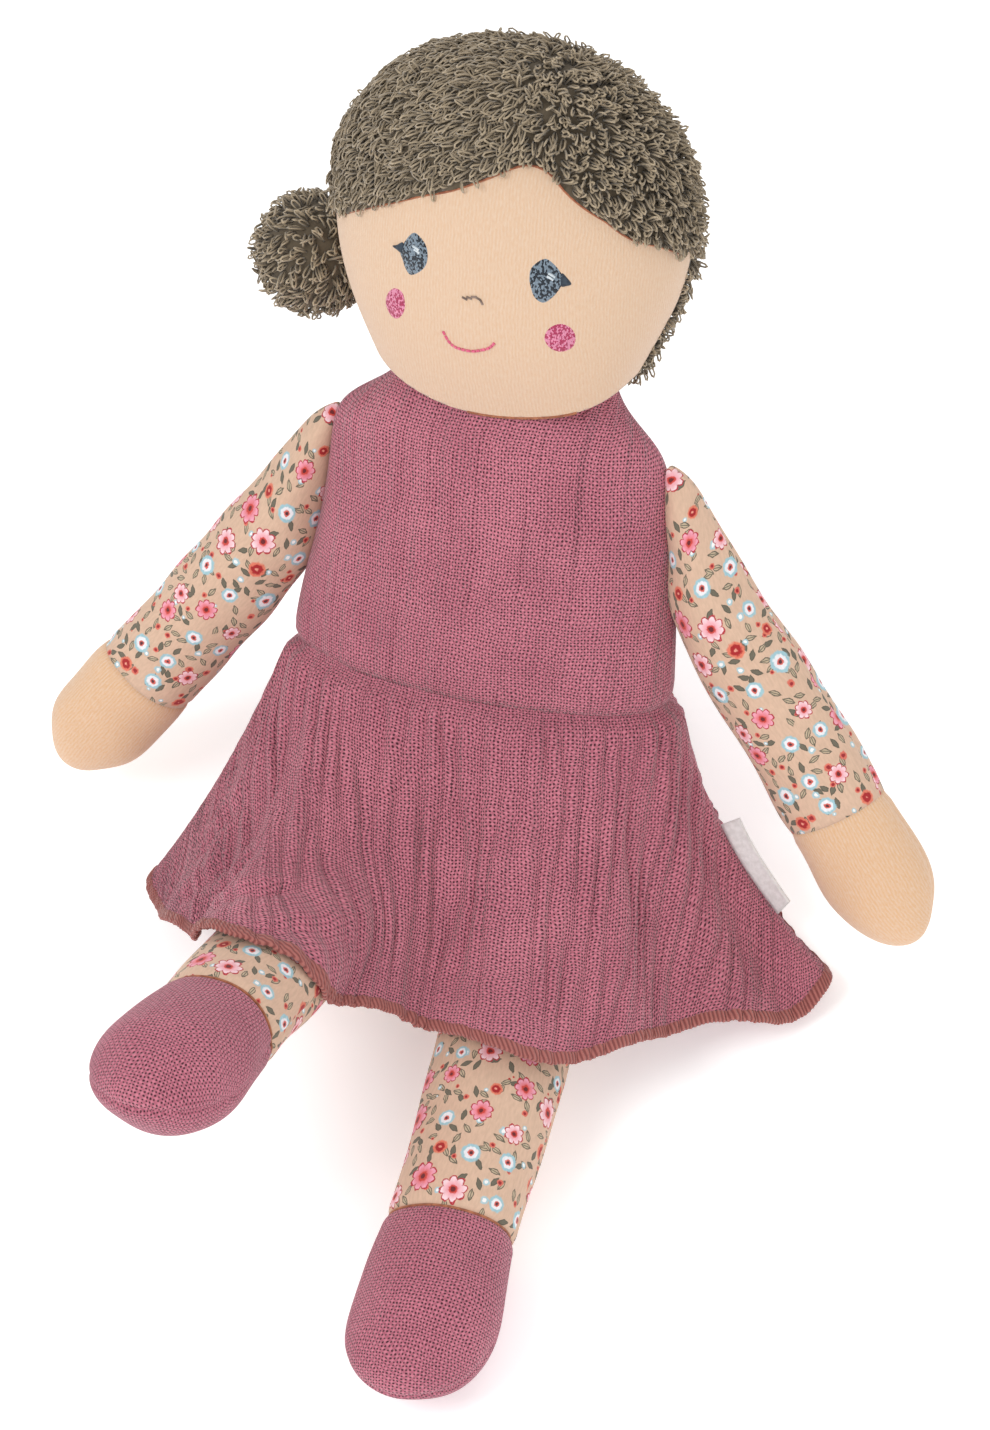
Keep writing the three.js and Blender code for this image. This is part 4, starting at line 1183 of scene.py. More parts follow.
def ground_points(piece, spacing, seed, keep=None):
    """Evenly scattered points on a mesh, no nearer than the spacing, with their normals."""
    rings = sorted_rings(list(face.vertices) for face in piece.data.polygons)
    corners = np.array([
        (ring[0], second, third) for ring in rings for second, third in zip(ring[1:], ring[2:])
    ])
    triangles, normals = read_points(piece)[corners], read_normals(piece)[corners]
    area = np.linalg.norm(np.cross(
        triangles[:, 1] - triangles[:, 0], triangles[:, 2] - triangles[:, 0],
    ), axis=1)
    chance = np.random.default_rng(seed)
    tries = int(5 * area.sum() / 2 / spacing**2)
    which = chance.choice(len(area), tries, p=area / area.sum())
    share = np.sort(chance.random((tries, 2)), axis=1)
    weights = np.stack([share[:, 0], share[:, 1] - share[:, 0], 1 - share[:, 1]], axis=1)
    places = (triangles[which] * weights[:, :, None]).sum(axis=1)
    facing = (normals[which] * weights[:, :, None]).sum(axis=1)
    facing /= np.linalg.norm(facing, axis=1, keepdims=True)
    if keep is not None:
        kept = keep(places, facing)
        places, facing = places[kept], facing[kept]
    taken, chosen = {}, []
    cells = np.floor(places / spacing).astype(int)
    for i, cell in enumerate(map(tuple, cells)):
        close = (
            taken.get((cell[0] + a, cell[1] + b, cell[2] + c), ())
            for a in (-1, 0, 1) for b in (-1, 0, 1) for c in (-1, 0, 1)
        )
        if all(np.sum((places[i] - places[j]) ** 2) > spacing**2 for some in close for j in some):
            taken.setdefault(cell, []).append(i)
            chosen.append(i)
    return places[chosen], facing[chosen]


def plant_loops(name, places, facing, comb, lean, seed, length, half_width=0.62, yarn=0.265):
    """Copies of the loop on each place. comb and lean are one row each; sizes in mm."""
    chance = np.random.default_rng(seed)
    count = len(places)
    clump = np.stack([soft_noise(places, 5 * mm, seed + i) for i in range(3)], axis=1)
    comb = comb + clump * np.clip(1.5 - lean, 0, 1)[:, None]
    comb = comb - facing * (comb * facing).sum(axis=1, keepdims=True)
    comb /= np.maximum(np.linalg.norm(comb, axis=1, keepdims=True), 1e-9)
    comb += 0.45 * chance.normal(size=(count, 3))
    comb -= facing * (comb * facing).sum(axis=1, keepdims=True)
    comb /= np.linalg.norm(comb, axis=1, keepdims=True)
    across = np.cross(facing, comb)
    high = (length * chance.uniform(0.72, 1.38, count))[:, None]
    wide = half_width * chance.uniform(0.75, 1.3, count)[:, None]
    rise = (1 - np.cos(ring_turn)) / 2 * high - ring_out * yarn * np.cos(ring_turn)
    share = np.clip(rise / high, 0, 1)
    swing = np.sin(ring_turn) * (wide * (0.45 + 0.55 * share) + ring_out * yarn)
    thick = ring_side * yarn + 0 * rise
    twist = chance.normal(scale=0.5, size=(count, 1)) * share
    twist = twist + chance.normal(scale=0.55, size=(count, 1))
    swing, thick = (
        swing * np.cos(twist) - thick * np.sin(twist),
        swing * np.sin(twist) + thick * np.cos(twist),
    )
    tilt = lean[:, None] * (0.45 + 0.75 * share)
    stand = rise * np.cos(tilt) - thick * np.sin(tilt)
    slide = rise * np.sin(tilt) + thick * np.cos(tilt)
    loops = (
        places[:, None, :]
        + facing[:, None, :] * (stand * mm)[:, :, None]
        + comb[:, None, :] * (slide * mm)[:, :, None]
        + across[:, None, :] * (swing * mm)[:, :, None]
    )
    size = len(ring_points)
    faces = (ring_faces[None] + size * np.arange(count)[:, None, None]).reshape(-1, 4)
    mesh = bpy.data.meshes.new(name)
    mesh.from_pydata(loops.reshape(-1, 3).tolist(), [], faces.tolist())
    wrap = mesh.uv_layers.new(name="UVMap")
    tint = np.repeat(chance.random(count)[:, None], size, axis=1)
    # painted shade: each loop darkens towards its root, upright loops most, as their deeper gaps
    # hold more shade
    root_shade = np.clip(0.42 * lean - 0.2, 0.02, 0.4)[:, None]
    shade = np.clip(root_shade + (1.05 - root_shade) * rise / high, 0, 1)
    tint_and_shade = np.stack([tint, shade], axis=2).reshape(-1, 2)
    wrap.data.foreach_set("uv", tint_and_shade[faces.ravel()].ravel())
    piece = bpy.data.objects.new(name, mesh)
    bpy.context.scene.collection.objects.link(piece)
    shade_round(piece)
    return piece


def root_shade_wrap(piece):
    """Puts a ground cloth at the foot of the loops on their map, so that it takes their painted
    root shade.
    """
    write_map(piece, np.tile((0.5, 0.2), (len(piece.data.loops), 1)))


# %% Loops on the fringe, the crown and the bun
for piece in (face, fringe, crown, head_form):
    piece.data.transform(head_place)
neck_rim = np.array([head_place @ Vector(p) for p in neck_rim])
under_chin = np.array(head_place.to_3x3() @ Vector((0, -0.8, -0.6)))
neck_rim_out = np.tile(under_chin, (len(neck_rim), 1))
fill_form(head_form, "head_filling", "head", head_fill, "head_stuffing")
fill_form(bun_ground, "bun_filling", "bun", bun_fill, "bun_stuffing")
head_turn = np.array(head_place.to_3x3())
head_shift = np.array(head_place.translation)


def in_head(places):
    """The places in the head's own frame."""
    return (places - head_shift) @ head_turn


def side_share(places):
    """0 on the doll's right of the parting, 1 on its left."""
    across = in_head(places)[:, 0] / mm - parting
    return np.clip((across + 9) / 16, 0, 1)[:, None]


def head_comb(places):
    """Down and to the doll's right on that side of the parting, down and left on the other."""
    share = side_share(places)
    to_right, to_left = np.array([-0.8, -0.1, -0.6]), np.array([0.45, -0.2, -0.9])
    return (to_right * (1 - share) + to_left * share) @ head_turn.T


def leaning(places, flat, upright, seed):
    """Lean of each loop: flat on the doll's right, upright on its left."""
    share = side_share(places)[:, 0]
    chance = np.random.default_rng(seed)
    return flat + (upright - flat) * share + chance.normal(scale=0.16, size=len(places))


places, facing = ground_points(
    fringe, 0.98 * mm, 31, lambda places, facing: above_hairline(in_head(places)) > 1.0 * mm,
)
height = above_hairline(in_head(places)) / mm
fringe_loops = plant_loops(
    "hair_loops_front", places, facing, head_comb(places), leaning(places, 1.25, 0.62, 32), 33,
    3.2 * np.clip(0.45 + height / 6, 0.5, 1),
)
places, facing = ground_points(crown, 1.3 * mm, 41)
near_seam = np.clip(1 - (in_head(places)[:, 1] / mm - face_seam) / 6, 0, 1)
near_seam *= np.clip(-above_hairline(in_head(places)) / mm / 4, 0, 1)
crown_loops = plant_loops(
    "hair_loops_back", places, facing,
    head_comb(places) * (1 - near_seam)[:, None] + near_seam[:, None] * head_turn[:, 1] * 2,
    leaning(places, 1.1, 0.65, 42) + 0.4 * near_seam, 43, 3.2 - 1.1 * near_seam,
)
places, facing = ground_points(bun_ground, 1.2 * mm, 51)
bun_middle = np.array(bun_place @ Vector((0, 0, bun_reach / 2 * mm)))
bun_loops = plant_loops(
    "bun_loops", places, facing,
    0.5 * (places - bun_middle) / (bun_radius * mm) + np.array([-0.6, -0.1, -0.8]),
    np.random.default_rng(52).uniform(0.6, 1.25, len(places)), 53, 3.1,
)
for piece in (fringe, crown, bun_ground):
    root_shade_wrap(piece)
dress(face, "head", face_velour, "velour", "face_panel", fill=head_fill)
dress(fringe, "head", terry, "terry", "hair_front", fill=head_fill)
dress(crown, "head", terry, "terry", "hair_back", fill=head_fill)
dress(fringe_loops, "head", terry, "terry")
dress(crown_loops, "head", terry, "terry")
dress(bun_ground, "bun", terry, "terry", "bun_cover", fill=bun_fill)
dress(bun_loops, "bun", terry, "terry")
face_surface = BVHTree.FromObject(face, bpy.context.evaluated_depsgraph_get())
drop(head_form)

# %% [markdown]
# ## Face
# The eyes, lashes and cheeks are dense embroidery, and the nose and the mouth are single
# lines of stitches. A filled circle is pulled to each outline, subdivided, and laid on the
# face by casting rays from in front, standing a little proud in its middle. Lines are thin
# round cords that follow their points over the face.

# %% Helpers for embroidery
patch_corners, patch_cuts = 60, 5
print("a patch has", patch_corners, "corners and is cut", patch_cuts, "times")


def on_face(across, height):
    """Points and normals on the face for places across it and above its middle, in mm."""
    found, facing = [], []
    for x, z in zip(np.ravel(across), np.ravel(height)):
        start = head_place @ (Vector((x, -80, head_middle + z)) * mm)
        place, normal, _, _ = face_surface.ray_cast(start, head_place.to_3x3() @ Vector((0, 1, 0)))
        found.append(place)
        facing.append(normal)
    return np.array(found), np.array(facing)


def smooth_line(points, count, closed=False):
    """A smooth line through the points, evenly divided."""
    points = np.array(points, float)
    if closed:
        points = np.concatenate([points[-2:], points, points[:3]])
    known = np.arange(len(points))
    start, end = (2, len(points) - 3) if closed else (0, len(points) - 1)
    wanted = np.linspace(start, end, count, endpoint=not closed)
    first = np.clip(wanted.astype(int), 0, len(points) - 2)
    share = (wanted - first)[:, None]
    p0, p1 = points[np.maximum(first - 1, 0)], points[first]
    p2, p3 = points[first + 1], points[np.minimum(first + 2, len(points) - 1)]
    return 0.5 * (
        2 * p1 + (p2 - p0) * share + (2 * p0 - 5 * p1 + 4 * p2 - p3) * share**2
        + (3 * p1 - p0 - 3 * p2 + p3) * share**3
    )


def embroider(name, outline, proud, material, slot, *nodes):
    """A dense patch within an outline of points on the face."""
    count = patch_corners
    edge = smooth_line(outline, count, closed=True)
    piece = start_from(
        bpy.ops.mesh.primitive_circle_add, name, vertices=count, radius=1, fill_type="TRIFAN",
    )
    bpy.ops.object.mode_set(mode="EDIT")
    bpy.ops.mesh.select_all(action="SELECT")
    bpy.ops.mesh.subdivide(number_cuts=patch_cuts)
    bpy.ops.object.mode_set(mode="OBJECT")
    unit = read_points(piece)
    angle = (np.arctan2(unit[:, 1], unit[:, 0]) / (2 * math.pi)) % 1 * count
    chord = np.cos(math.pi / count) / np.cos(math.pi / count * (2 * (angle % 1) - 1))
    reach = np.clip(np.hypot(unit[:, 0], unit[:, 1]) / chord, 0, 1)
    first = np.floor(angle).astype(int) % count
    share = (angle % 1)[:, None]
    rim = edge[first] * (1 - share) + edge[(first + 1) % count] * share
    centre = edge.mean(axis=0)
    flat = centre + (rim - centre) * reach[:, None]
    places, facing = on_face(flat[:, 0], flat[:, 1])
    lift = proud * (1 - reach**4) - 0.12
    write_points(piece, places + facing * (lift * mm)[:, None])
    shade_round(piece)
    dress(piece, "head", material, slot, *nodes)


def sew_line(name, lines, radius, material, slot, *nodes, body="head", proud=0.1):
    """Cords of thread laid along one or more lines of points, in metres with their normals."""
    curve = bpy.data.curves.new(name, "CURVE")
    curve.dimensions = "3D"
    curve.bevel_depth = radius * mm
    curve.bevel_resolution = 2
    curve.use_fill_caps = True
    for places, facing in lines:
        spline = curve.splines.new("POLY")
        spline.points.add(len(places) - 1)
        lifted = places + facing * proud * mm
        spline.points.foreach_set("co", np.column_stack([lifted, np.ones(len(places))]).ravel())
    piece = bpy.data.objects.new(name, curve)
    bpy.context.scene.collection.objects.link(piece)
    pick(piece)
    bpy.ops.object.convert(target="MESH")
    bpy.ops.object.shade_smooth()
    dress(piece, body, material, slot, *nodes)


def face_line(points, count):
    """A smooth line on the face, as places and normals."""
    line = smooth_line(points, count)
    return on_face(line[:, 0], line[:, 1])


# %% Eyes, lashes and cheeks
embroider("eye_patch_right", [
    (-16.8, 5.2), (-14.2, 3.8), (-13, 1.6), (-13, -1.3), (-14.3, -3.7), (-17.2, -5.7),
    (-18.8, -4.4), (-19.7, -2.3), (-20.4, -0.5), (-19.1, 2.6),
], 0.55, eye_thread, "eye_thread", "eye_right")
embroider("eye_patch_left", [
    (13.1, 4.3), (15.2, 3.3), (16.9, 1.3), (17.9, -0.5), (17.1, -2.7), (15.7, -5), (13.6, -6.7),
    (11.6, -5.6), (10.6, -3.2), (10.1, -0.8), (10.5, 2),
], 0.55, eye_thread, "eye_thread", "eye_left")
embroider("lashes_right", [
    (-22.4, 0.2), (-21.2, 0.8), (-19.6, 1.9), (-19, 0.6), (-19.8, -0.8), (-21, -0.4),
], 0.6, navy_thread, "eye_thread")
embroider("lashes_left", [
    (19.2, -1.6), (18.2, -0.1), (17, 1), (16.7, -0.8), (17, -2.3), (18.1, -2.2),
], 0.6, navy_thread, "eye_thread")
sew_line("eye_lights", [
    face_line([(-16.6, 1.9), (-15.8, 1.7), (-15.1, 1.3)], 6),
    face_line([(-16.2, 1.2), (-15.5, 1), (-14.9, 0.6)], 6),
    face_line([(14.2, 0.9), (14.9, 0.5), (15.6, 0)], 6),
    face_line([(14, 0.2), (14.7, -0.2), (15.3, -0.6)], 6),
], 0.27, white_thread, "eye_thread", proud=0.6)
embroider("cheek_patch_right", [
    (-21.5, -9.5), (-19.3, -10), (-18.5, -12.6), (-19, -15.5), (-20.9, -17.7), (-23, -17.2),
    (-24.2, -14.6), (-23.5, -11.6),
], 0.5, cheek_thread, "cheek_felt", "cheek_right")
embroider("cheek_patch_left", [
    (17.3, -10.9), (19.6, -11.9), (20.7, -14.3), (20.1, -17.1), (17.6, -18.5), (15.1, -17.6),
    (13.8, -15), (14.9, -12.2),
], 0.5, cheek_thread, "cheek_felt", "cheek_left")
sew_line("nose_line", [
    face_line([(-4.4, -7.6), (-3.2, -8)], 5), face_line([(-3.4, -7.3), (-2.1, -7.6)], 5),
    face_line([(-2.3, -7.1), (-1, -6.9)], 5), face_line([(-1.2, -7), (-0.1, -7.5)], 5),
    face_line([(-0.2, -7.4), (0.4, -8.5)], 5),
], 0.26, nose_thread, "nose_thread", "nose_stitch")
smile = smooth_line([
    (-9, -17.2), (-8.2, -18.7), (-7.3, -19.9), (-6.2, -20.6), (-5, -20.8), (-3.5, -20.9),
    (-1.7, -20.7), (-0.3, -20.2), (1.5, -19.4), (2.5, -18.5), (3.2, -17.5),
], 57)
smile_lines = [on_face(smile[i:i + 4, 0], smile[i:i + 4, 1]) for i in range(0, 56, 4)]
sew_line("mouth_line", smile_lines, 0.34, mouth_thread, "mouth_thread", "mouth_stitch")

# %% [markdown]
# A rust thread shows where cloths meet: along the hairline, round the ankles and under the
# chin. It is a thin cord that lies half in the seam.

# %% Seams round the face and at the ankles
sew_line("hairline_seam", [face_line(hairline[1:-1], 90)], 0.3, rust_thread, "hem_thread", proud=0)
for side, (places, facing) in ankle_rings.items():
    sew_line(
        f"ankle_seam_{side}", [(places, facing)], 0.34, rust_thread, "hem_thread",
        body=f"leg_{side}", proud=0.05,
    )
seen = slice(20, 48)
sew_line(
    "neck_seam", [(neck_rim[seen], neck_rim_out[seen])], 0.4, rust_thread, "hem_thread",
    proud=-0.1,
)

# %% [markdown]
# ## Skirt
# The skirt is two panels of crinkled muslin, gathered into the waist seam and hung over the
# legs. A grid is the cloth before it hangs. Its rows go round the waist and its columns run
# down: each point is placed between the waist and the hem on a sagging curve, lifted off the
# legs, and pushed out and in by broad folds and by fine ribs. The front panel is in two
# halves.

# %% Where the skirt's cloth hangs
skirt_length, hem_depth, hem_thread, cloth_depth = 77.0, 2.9, 1.4, 0.8
waist_half_width, waist_half_depth, waist_tuck = 48.2, 23.4, 3.4
fold_depth, folds_per_panel = 2.0, 7
front_sag, back_sag = 18.0, 16.0
side_sag, side_pull = {"right": 11.0, "left": 25.0}, {"right": 0.46, "left": 0.14}
leg_clearance = 2.0
hem_shares = np.array([
    (1.205, -0.215, 0.065), (1.088, -0.418, 0.1), (0.866, -0.543, 0.182),
    (0.677, -0.793, 0.312), (0.446, -0.962, 0.434), (0.167, -0.903, 0.41),
    (-0.072, -0.99, 0.571), (-0.33, -1.075, 0.831), (-0.545, -0.907, 0.623),
    (-0.775, -0.714, 0.383), (-0.935, -0.429, 0.13), (-0.865, 0.05, 0.045),
    (-0.84, 0.46, 0.029), (-0.58, 0.84, 0.029), (-0.156, 1.065, 0.029),
    (0.265, 0.967, 0.04), (0.545, 0.518, 0.04), (0.88, 0.126, 0.04),
])
front_share = 10 / len(hem_shares)
body_turn = np.array(body_place.to_3x3())
body_shift = np.array(body_place.translation) / mm
leg_table = np.array(leg_shares)
leg_places = []
for side in ("right", "left"):
    place = limb_places[f"hip_{side}"]
    leg_places.append((
        np.array(place.to_3x3()), np.array(place.translation) / mm, leg_lengths[side],
    ))
print("the hem is drawn through", len(hem_shares), "points")


def hem_curve(around):
    """A smooth closed curve through the hem's points, as centripetal Catmull-Rom."""
    place = (around % 1) * len(hem_shares)
    first = np.floor(place).astype(int)
    share = (place - first)[:, None]
    p0, p1, p2, p3 = (
        hem_shares[(first + i) % len(hem_shares)] * skirt_length for i in (-1, 0, 1, 2)
    )
    d0, d1, d2 = (
        np.sqrt(np.linalg.norm(b - a, axis=1, keepdims=True))
        for a, b in ((p0, p1), (p1, p2), (p2, p3))
    )
    t1 = ((p1 - p0) / d0 - (p2 - p0) / (d0 + d1) + (p2 - p1) / d1) * d1
    t2 = ((p2 - p1) / d1 - (p3 - p1) / (d1 + d2) + (p3 - p2) / d2) * d1
    return (
        p1 + t1 * share + (3 * (p2 - p1) - 2 * t1 - t2) * share**2
        + (2 * (p1 - p2) + t1 + t2) * share**3
    )


def turn_at(around):
    """Half a turn for each panel."""
    around = around % 1
    return np.where(
        around <= front_share, around / front_share / 2,
        0.5 + (around - front_share) / (1 - front_share) / 2,
    )


def bare_sheet(around, down):
    """The cloth without folds: a sagging curve from the waist to the hem, in mm."""
    angle = -2 * math.pi * turn_at(around)
    waist = np.stack([
        waist_half_width * np.cos(angle) - 0.6, waist_half_depth * np.sin(angle),
        0 * angle + waist_height - 1,
    ], axis=1) @ body_turn.T + body_shift
    hem = hem_curve(around)
    backness = (1 + np.sin(angle)) / 2
    aside = np.cos(angle) ** 4
    at_left = np.cos(angle) > 0
    pull = np.where(at_left, side_pull["left"], side_pull["right"])
    side_drop = np.where(at_left, side_sag["left"], side_sag["right"])
    sag = (front_sag + (back_sag - front_sag) * backness) * (1 - aside) + side_drop * aside
    bend = waist + (hem - waist) * (0.4 * (1 - aside) + pull * aside)[:, None]
    bend[:, 2] = (waist[:, 2] + hem[:, 2]) / 2 - sag
    down = down[:, None]
    return waist * (1 - down) ** 2 + bend * 2 * down * (1 - down) + hem * down**2


def sheet_out(around, down):
    """The cloth's outward normal."""
    step = 0.004
    along = bare_sheet(around + step, down) - bare_sheet(around - step, down)
    lower, upper = np.minimum(down + step, 1), np.maximum(down - step, 0)
    fall = bare_sheet(around, lower) - bare_sheet(around, upper)
    out = np.cross(along, fall)
    return out / np.linalg.norm(out, axis=1, keepdims=True)


def clear_of_legs(points):
    """Lifts points off both legs, more softly the further they are."""
    for turn, shift, length in leg_places:
        local = (points - shift) @ turn
        along = -local[:, 2] / length
        wide = np.interp(along, leg_table[:, 0], leg_table[:, 2]) * leg_half_width + leg_clearance
        deep = np.maximum(np.interp(along, leg_table[:, 0], leg_table[:, 3]), 0.85) * leg_half_depth
        reach = np.hypot(local[:, 0] / wide, local[:, 1] / (deep + leg_clearance))
        lift = np.maximum((1 + reach**5) ** 0.2 / np.maximum(reach, 0.06), 1)
        share = np.clip(0.5 - local[:, 2] / 12, 0, 1)
        local[:, :2] *= (1 + (lift - 1) * share)[:, None]
        points = local @ turn.T + shift
    return points


def waves_round(turn, seed, counts, scale=1.0):
    """A seeded sum of waves that closes after one turn."""
    chance = np.random.default_rng(seed)
    total = 0 * turn
    for count in counts:
        height = chance.uniform(0.4, 1)
        total = total + height * np.sin(2 * math.pi * (count * turn + chance.random()))
    return scale * total / len(counts)


# %% [markdown]
# The ribs run down the cloth at an even pitch, so they need lengths along it. Two tables
# hold, for rings at several heights, the way from each panel's middle and the way to the
# nearest side seam.

# %% Lengths along the cloth, for its ribs
front_middle, back_middle = front_share / 2, (1 + front_share) / 2
ring_places, fall_places = np.linspace(0, 1, 721), np.linspace(0, 1, 25)
across_table, edge_table = [], []
for fall in fall_places:
    ring = bare_sheet(ring_places * 0.99999, 0 * ring_places + fall)
    way = np.concatenate([[0], np.linalg.norm(np.diff(ring, axis=0), axis=1).cumsum()])
    middles = [np.interp(place, ring_places, way) for place in (front_middle, back_middle)]
    seam = np.interp(front_share, ring_places, way)
    in_front = ring_places <= front_share
    across_table.append(way - np.where(in_front, *middles))
    edge_table.append(np.minimum(np.abs(way - seam), np.minimum(way, way[-1] - way)))
across_table, edge_table = np.array(across_table), np.array(edge_table)


def along_cloth(table, around, down):
    """Reads one of the tables between its rows and columns."""
    column = (around % 1) * (len(ring_places) - 1)
    row = np.clip(down, 0, 1) * (len(fall_places) - 1)
    first, upper = (np.minimum(np.floor(v).astype(int), n - 2) for v, n in (
        (column, len(ring_places)), (row, len(fall_places)),
    ))
    share, drop_share = column - first, row - upper
    above = table[upper, first] * (1 - share) + table[upper, first + 1] * share
    below = table[upper + 1, first] * (1 - share) + table[upper + 1, first + 1] * share
    return above * (1 - drop_share) + below * drop_share


print("the hem is", round(2 * edge_table[-1].max()), "mm across its longer panel")

# %% [markdown]
# Broad folds are added before the cloth is lifted off the legs. The narrow ribs that muslin
# crinkles into, and the wrinkles over the raised leg, come after it, so that they stay sharp.

# %% The cloth with its folds, crinkle and wrinkles
rib_pitch, rib_depth = 4.8, 1.4
leg_wrinkles = [
    (52, 52, 66, 63, 1.5, 1.8), (42, 60, 60, 69, 1.2, 1.6), (66, 42, 84, 56, 1.3, 2.0),
    (30, 64, 46, 73, 0.9, 1.5), (72, 60, 88, 70, 1.0, 1.8),
]


def sheet_point(around, down):
    """The cloth with its folds, ribs and wrinkles, in mm."""
    turn = turn_at(around)
    hang = np.clip(down, 0, 1)
    fall = hang * skirt_length
    across = along_cloth(across_table, around, hang)
    edge = along_cloth(edge_table, around, hang)
    drift = waves_round(turn, 61, (2, 3, 5, 8, 11), 1.3)
    fold = fold_depth * hang * np.cos(4 * math.pi * folds_per_panel * turn + drift)
    flat = np.stack([across, 0.35 * fall, 0 * across], axis=1)
    phase = across / rib_pitch + 0.28 * soft_noise(flat, 16, 62)
    level = np.clip(0.78 + 0.3 * soft_noise(flat, 11, 63), 0.4, 1.1)
    grow = np.clip(fall / 4, 0, 1) * (1 - 0.4 * hang**4) * np.clip(edge / 5, 0, 1)
    rib = rib_depth * level * grow * ((0.5 + 0.5 * np.cos(2 * math.pi * phase)) ** 0.75 - 0.55)
    front = around <= front_share
    for x0, y0, x1, y1, depth, width in leg_wrinkles:
        run = math.hypot(x1 - x0, y1 - y0)
        on = ((across - x0) * (x1 - x0) + (fall - y0) * (y1 - y0)) / run
        off = ((across - x0) * (y0 - y1) + (fall - y0) * (x1 - x0)) / run
        beyond = np.maximum(np.maximum(-on, on - run), 0)
        deep = front * depth * np.exp(-((beyond / 5) ** 2))
        rib -= deep * np.exp(-((off / width) ** 2))
        rib += 0.6 * deep * np.exp(-(((off + 1.8 * width) / width) ** 2))
    tuck = -waist_tuck * np.exp(-((fall / 1.8) ** 2))
    out = sheet_out(around, hang)
    level_out = out - (out @ body_turn[:, 2])[:, None] * body_turn[:, 2]
    points = bare_sheet(around, hang) + out * fold[:, None]
    points = clear_of_legs(points)
    points[:, 2] = np.maximum(points[:, 2], 0.5 + hem_thread / 2)
    points += out * rib[:, None] + level_out * tuck[:, None]
    above_seam = np.maximum(-down, 0) * skirt_length
    points += above_seam[:, None] * body_turn[:, 2]
    points[:, 2] = np.maximum(points[:, 2], 0.45)
    return points


print("skirt:", round(skirt_length), "mm from waist to hem")

# %% [markdown]
# Each panel is a grid laid on that cloth. Its map holds the real lengths between its points,
# so that the weave keeps its pitch in the folds.

# %% The panels
hem_top = 1 - hem_depth / skirt_length


def hang_grid(name, start, end, top, bottom, columns, rows, datum):
    """A grid laid on the hanging cloth, with a map of its lengths in mm."""
    piece = start_from(
        bpy.ops.mesh.primitive_grid_add, name,
        x_subdivisions=columns, y_subdivisions=rows, size=2, calc_uvs=True,
    )
    flat = (read_points(piece)[:, :2] + 1) / 2
    around = start + (end - start) * flat[:, 0]
    down = top + (bottom - top) * flat[:, 1]
    points = sheet_point(around, down)
    write_points(piece, points * mm)
    column = np.rint(flat[:, 0] * columns).astype(int)
    row = np.rint(flat[:, 1] * rows).astype(int)
    smooth = np.empty((rows + 1, columns + 1, 3))
    smooth[row, column] = bare_sheet(around, np.clip(down, 0, 1))
    across = np.linalg.norm(np.diff(smooth, axis=1), axis=2).cumsum(axis=1)
    across = np.concatenate([np.zeros((rows + 1, 1)), across], axis=1)
    across -= across[:, int(datum * columns)][:, None]
    real = np.empty((rows + 1, columns + 1, 3))
    real[row, column] = points
    below = np.linalg.norm(np.diff(real, axis=0), axis=2).cumsum(axis=0)
    below = np.concatenate([np.zeros((1, columns + 1)), below], axis=0)
    wrap = np.stack([across[row, column], -below[row, column]], axis=1)
    write_map(piece, wrap[read_corners(piece)])
    shade_round(piece)
    return piece


def thicken(piece, thickness):
    """Gives the cloth its thickness, half to each side."""
    wall = piece.modifiers.new("cloth", "SOLIDIFY")
    wall.thickness = thickness * mm
    wall.offset = 0
    apply_modifiers(piece)


# where each panel starts and ends, its columns, and where across it its map starts
spans = {
    "left": (0, front_middle, 170, 1), "right": (front_middle, front_share, 170, 0),
    "back": (front_share, 1, 250, 0.5),
}
skirt_panels = {}
for name, (start, end, columns, datum) in spans.items():
    panel = hang_grid(
        f"skirt_panel_{name}", start, end, -1.5 / skirt_length, hem_top + 0.006, columns, 64, datum,
    )
    thicken(panel, cloth_depth)
    bpy.ops.object.shade_smooth_by_angle(angle=math.radians(70))
    print(panel.name, len(panel.data.polygons), "faces")
    skirt_panels[name] = panel

# %% [markdown]
# The hem is overlocked: threads wrap the cloth's edge in close diagonal stitches. It is made
# from a narrow strip of the same hanging cloth. A wave raises a ridge for every stitch, and
# the strip is thickened and rounded.

# %% The overlocked hem
hem_bands, hem_length, columns_per_mm = {}, 590, 4
for name, (start, end, _, datum) in spans.items():
    columns = int(hem_length * (end - start) * columns_per_mm)
    band = hang_grid(f"hem_band_{name}", start, end, hem_top, 1, columns, 3, datum)
    flat = np.zeros((len(band.data.vertices), 2))
    flat[read_corners(band)] = read_map(band)
    thicken(band, hem_thread)
    points = read_points(band)
    flat = np.concatenate([flat, flat])[:len(points)]
    wave = np.cos(2 * math.pi * (flat[:, 0] - 0.45 * flat[:, 1]) / stitch_pitch)
    write_points(band, points + read_normals(band) * (0.16 * mm * wave)[:, None])
    round_off(band, 1)
    hem_bands[name] = band
    print(band.name, len(band.data.polygons), "faces")

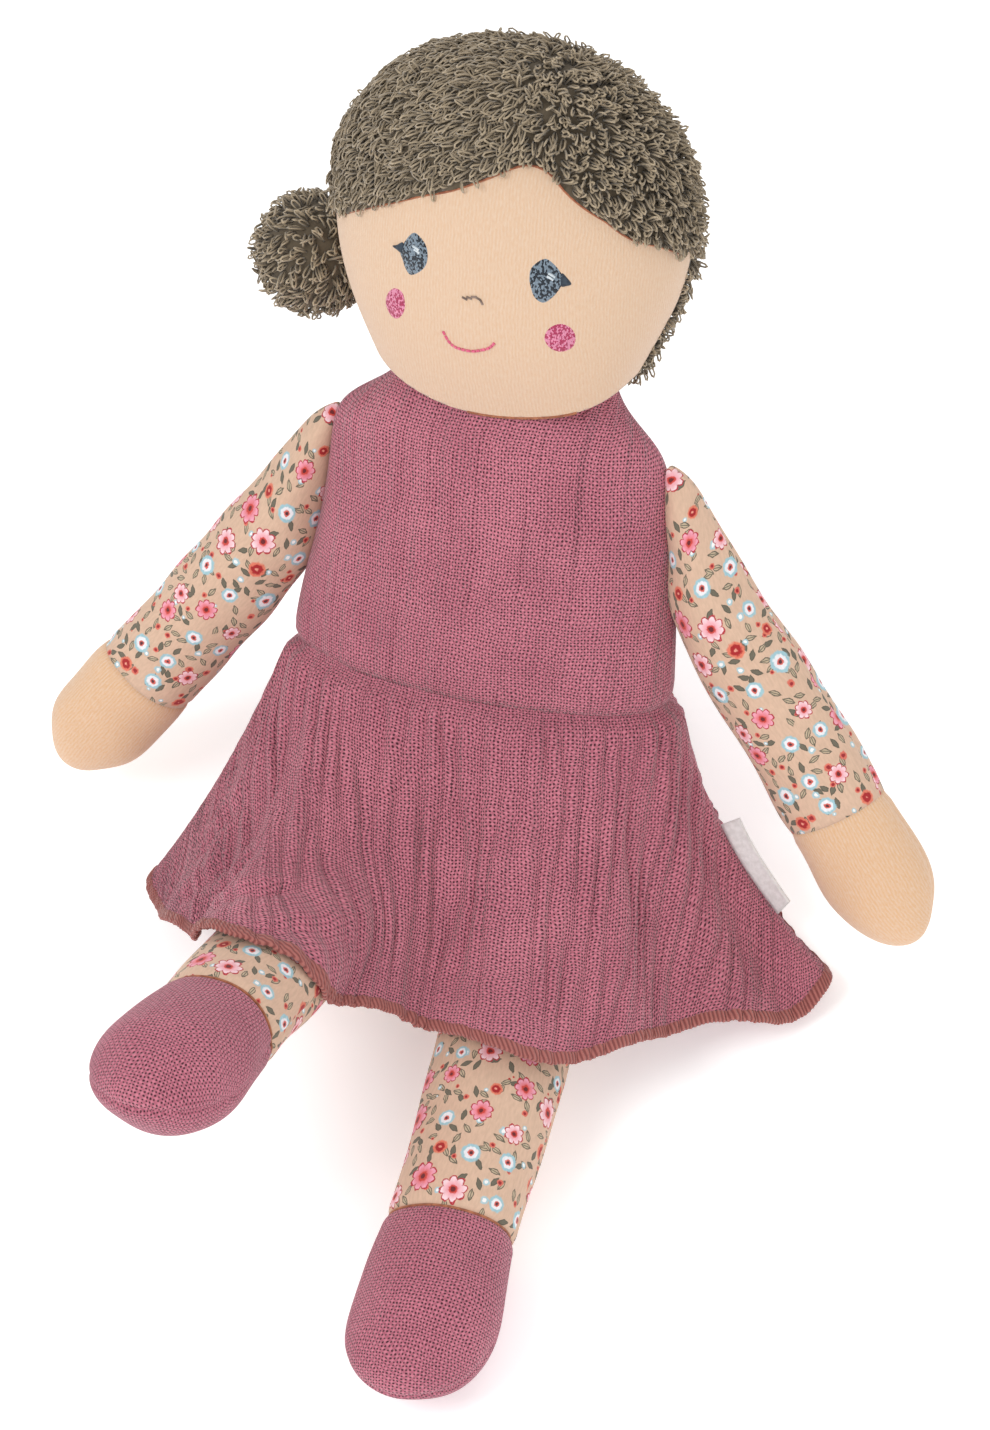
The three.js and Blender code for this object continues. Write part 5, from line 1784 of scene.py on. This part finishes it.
# %% [markdown]
# The front halves cross the hip joints. The front halves and their hem bands have their places
# baked into their meshes, and the back panel and its hem band are fixed to the body.

# %% The skirt's pieces in place
# direction, where the cloth starts to move along it, and over how many mm it takes up the turn
following = {
    "right": (Vector((-0.375, -0.539, 0.755)), 57.0, 33.0),
    "left": (Vector((0.58, -0.729, 0.364)), 68.8, 13.0),
}
for side, (away, start, reach) in following.items():
    away = away.normalized() * mm
    for piece in (skirt_panels[side], hem_bands[side]):
        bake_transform(piece)
for piece in (skirt_panels["back"], hem_bands["back"]):
    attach(piece, "torso")
for name, panel in skirt_panels.items():
    paint(panel, rose_muslin)
    paint(hem_bands[name], hem_thread_look)
    cut = np.ptp(read_map(panel), axis=0) * mm
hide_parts("skirt_front")
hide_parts("skirt_back")
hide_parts("skirt_hem_front")
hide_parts("skirt_hem_back")

# %% [markdown]
# The label is a loop of bare satin ribbon, sewn into the skirt's side seam. It is a strip
# folded along its far edge and left a little open.

# %% The label
tag_length, tag_depth, tag_down = 26.5, 5.0, 0.575
label = start_from(
    bpy.ops.mesh.primitive_grid_add, "side_label", x_subdivisions=24, y_subdivisions=24, size=2,
)
flat = (read_points(label)[:, :2] + 1) / 2
down = tag_down + (flat[:, 0] - 0.5) * tag_length / skirt_length
seam = sheet_point(0 * down, down)
step = 1 / skirt_length
along = sheet_point(0 * down, down + step) - sheet_point(0 * down, down - step)
along /= np.linalg.norm(along, axis=1, keepdims=True)
out = sheet_out(0 * down, down)
out -= along * (out * along).sum(axis=1, keepdims=True)
out /= np.linalg.norm(out, axis=1, keepdims=True)
across = np.cross(along, out)
fold = flat[:, 1] * 2 - 1
reach = (0.6 + tag_depth * (1 - np.abs(fold) ** 2.6))[:, None]
apart = (0.55 * np.sign(fold) * (1 - np.abs(fold)) ** 0.5 + 0.25 * np.sin(5 * flat[:, 0]))[:, None]
write_points(label, (seam + out * reach + across * apart) * mm)
thicken(label, 0.25)
shade_round(label)
dress(label, "torso", satin, "satin", "side_tag")
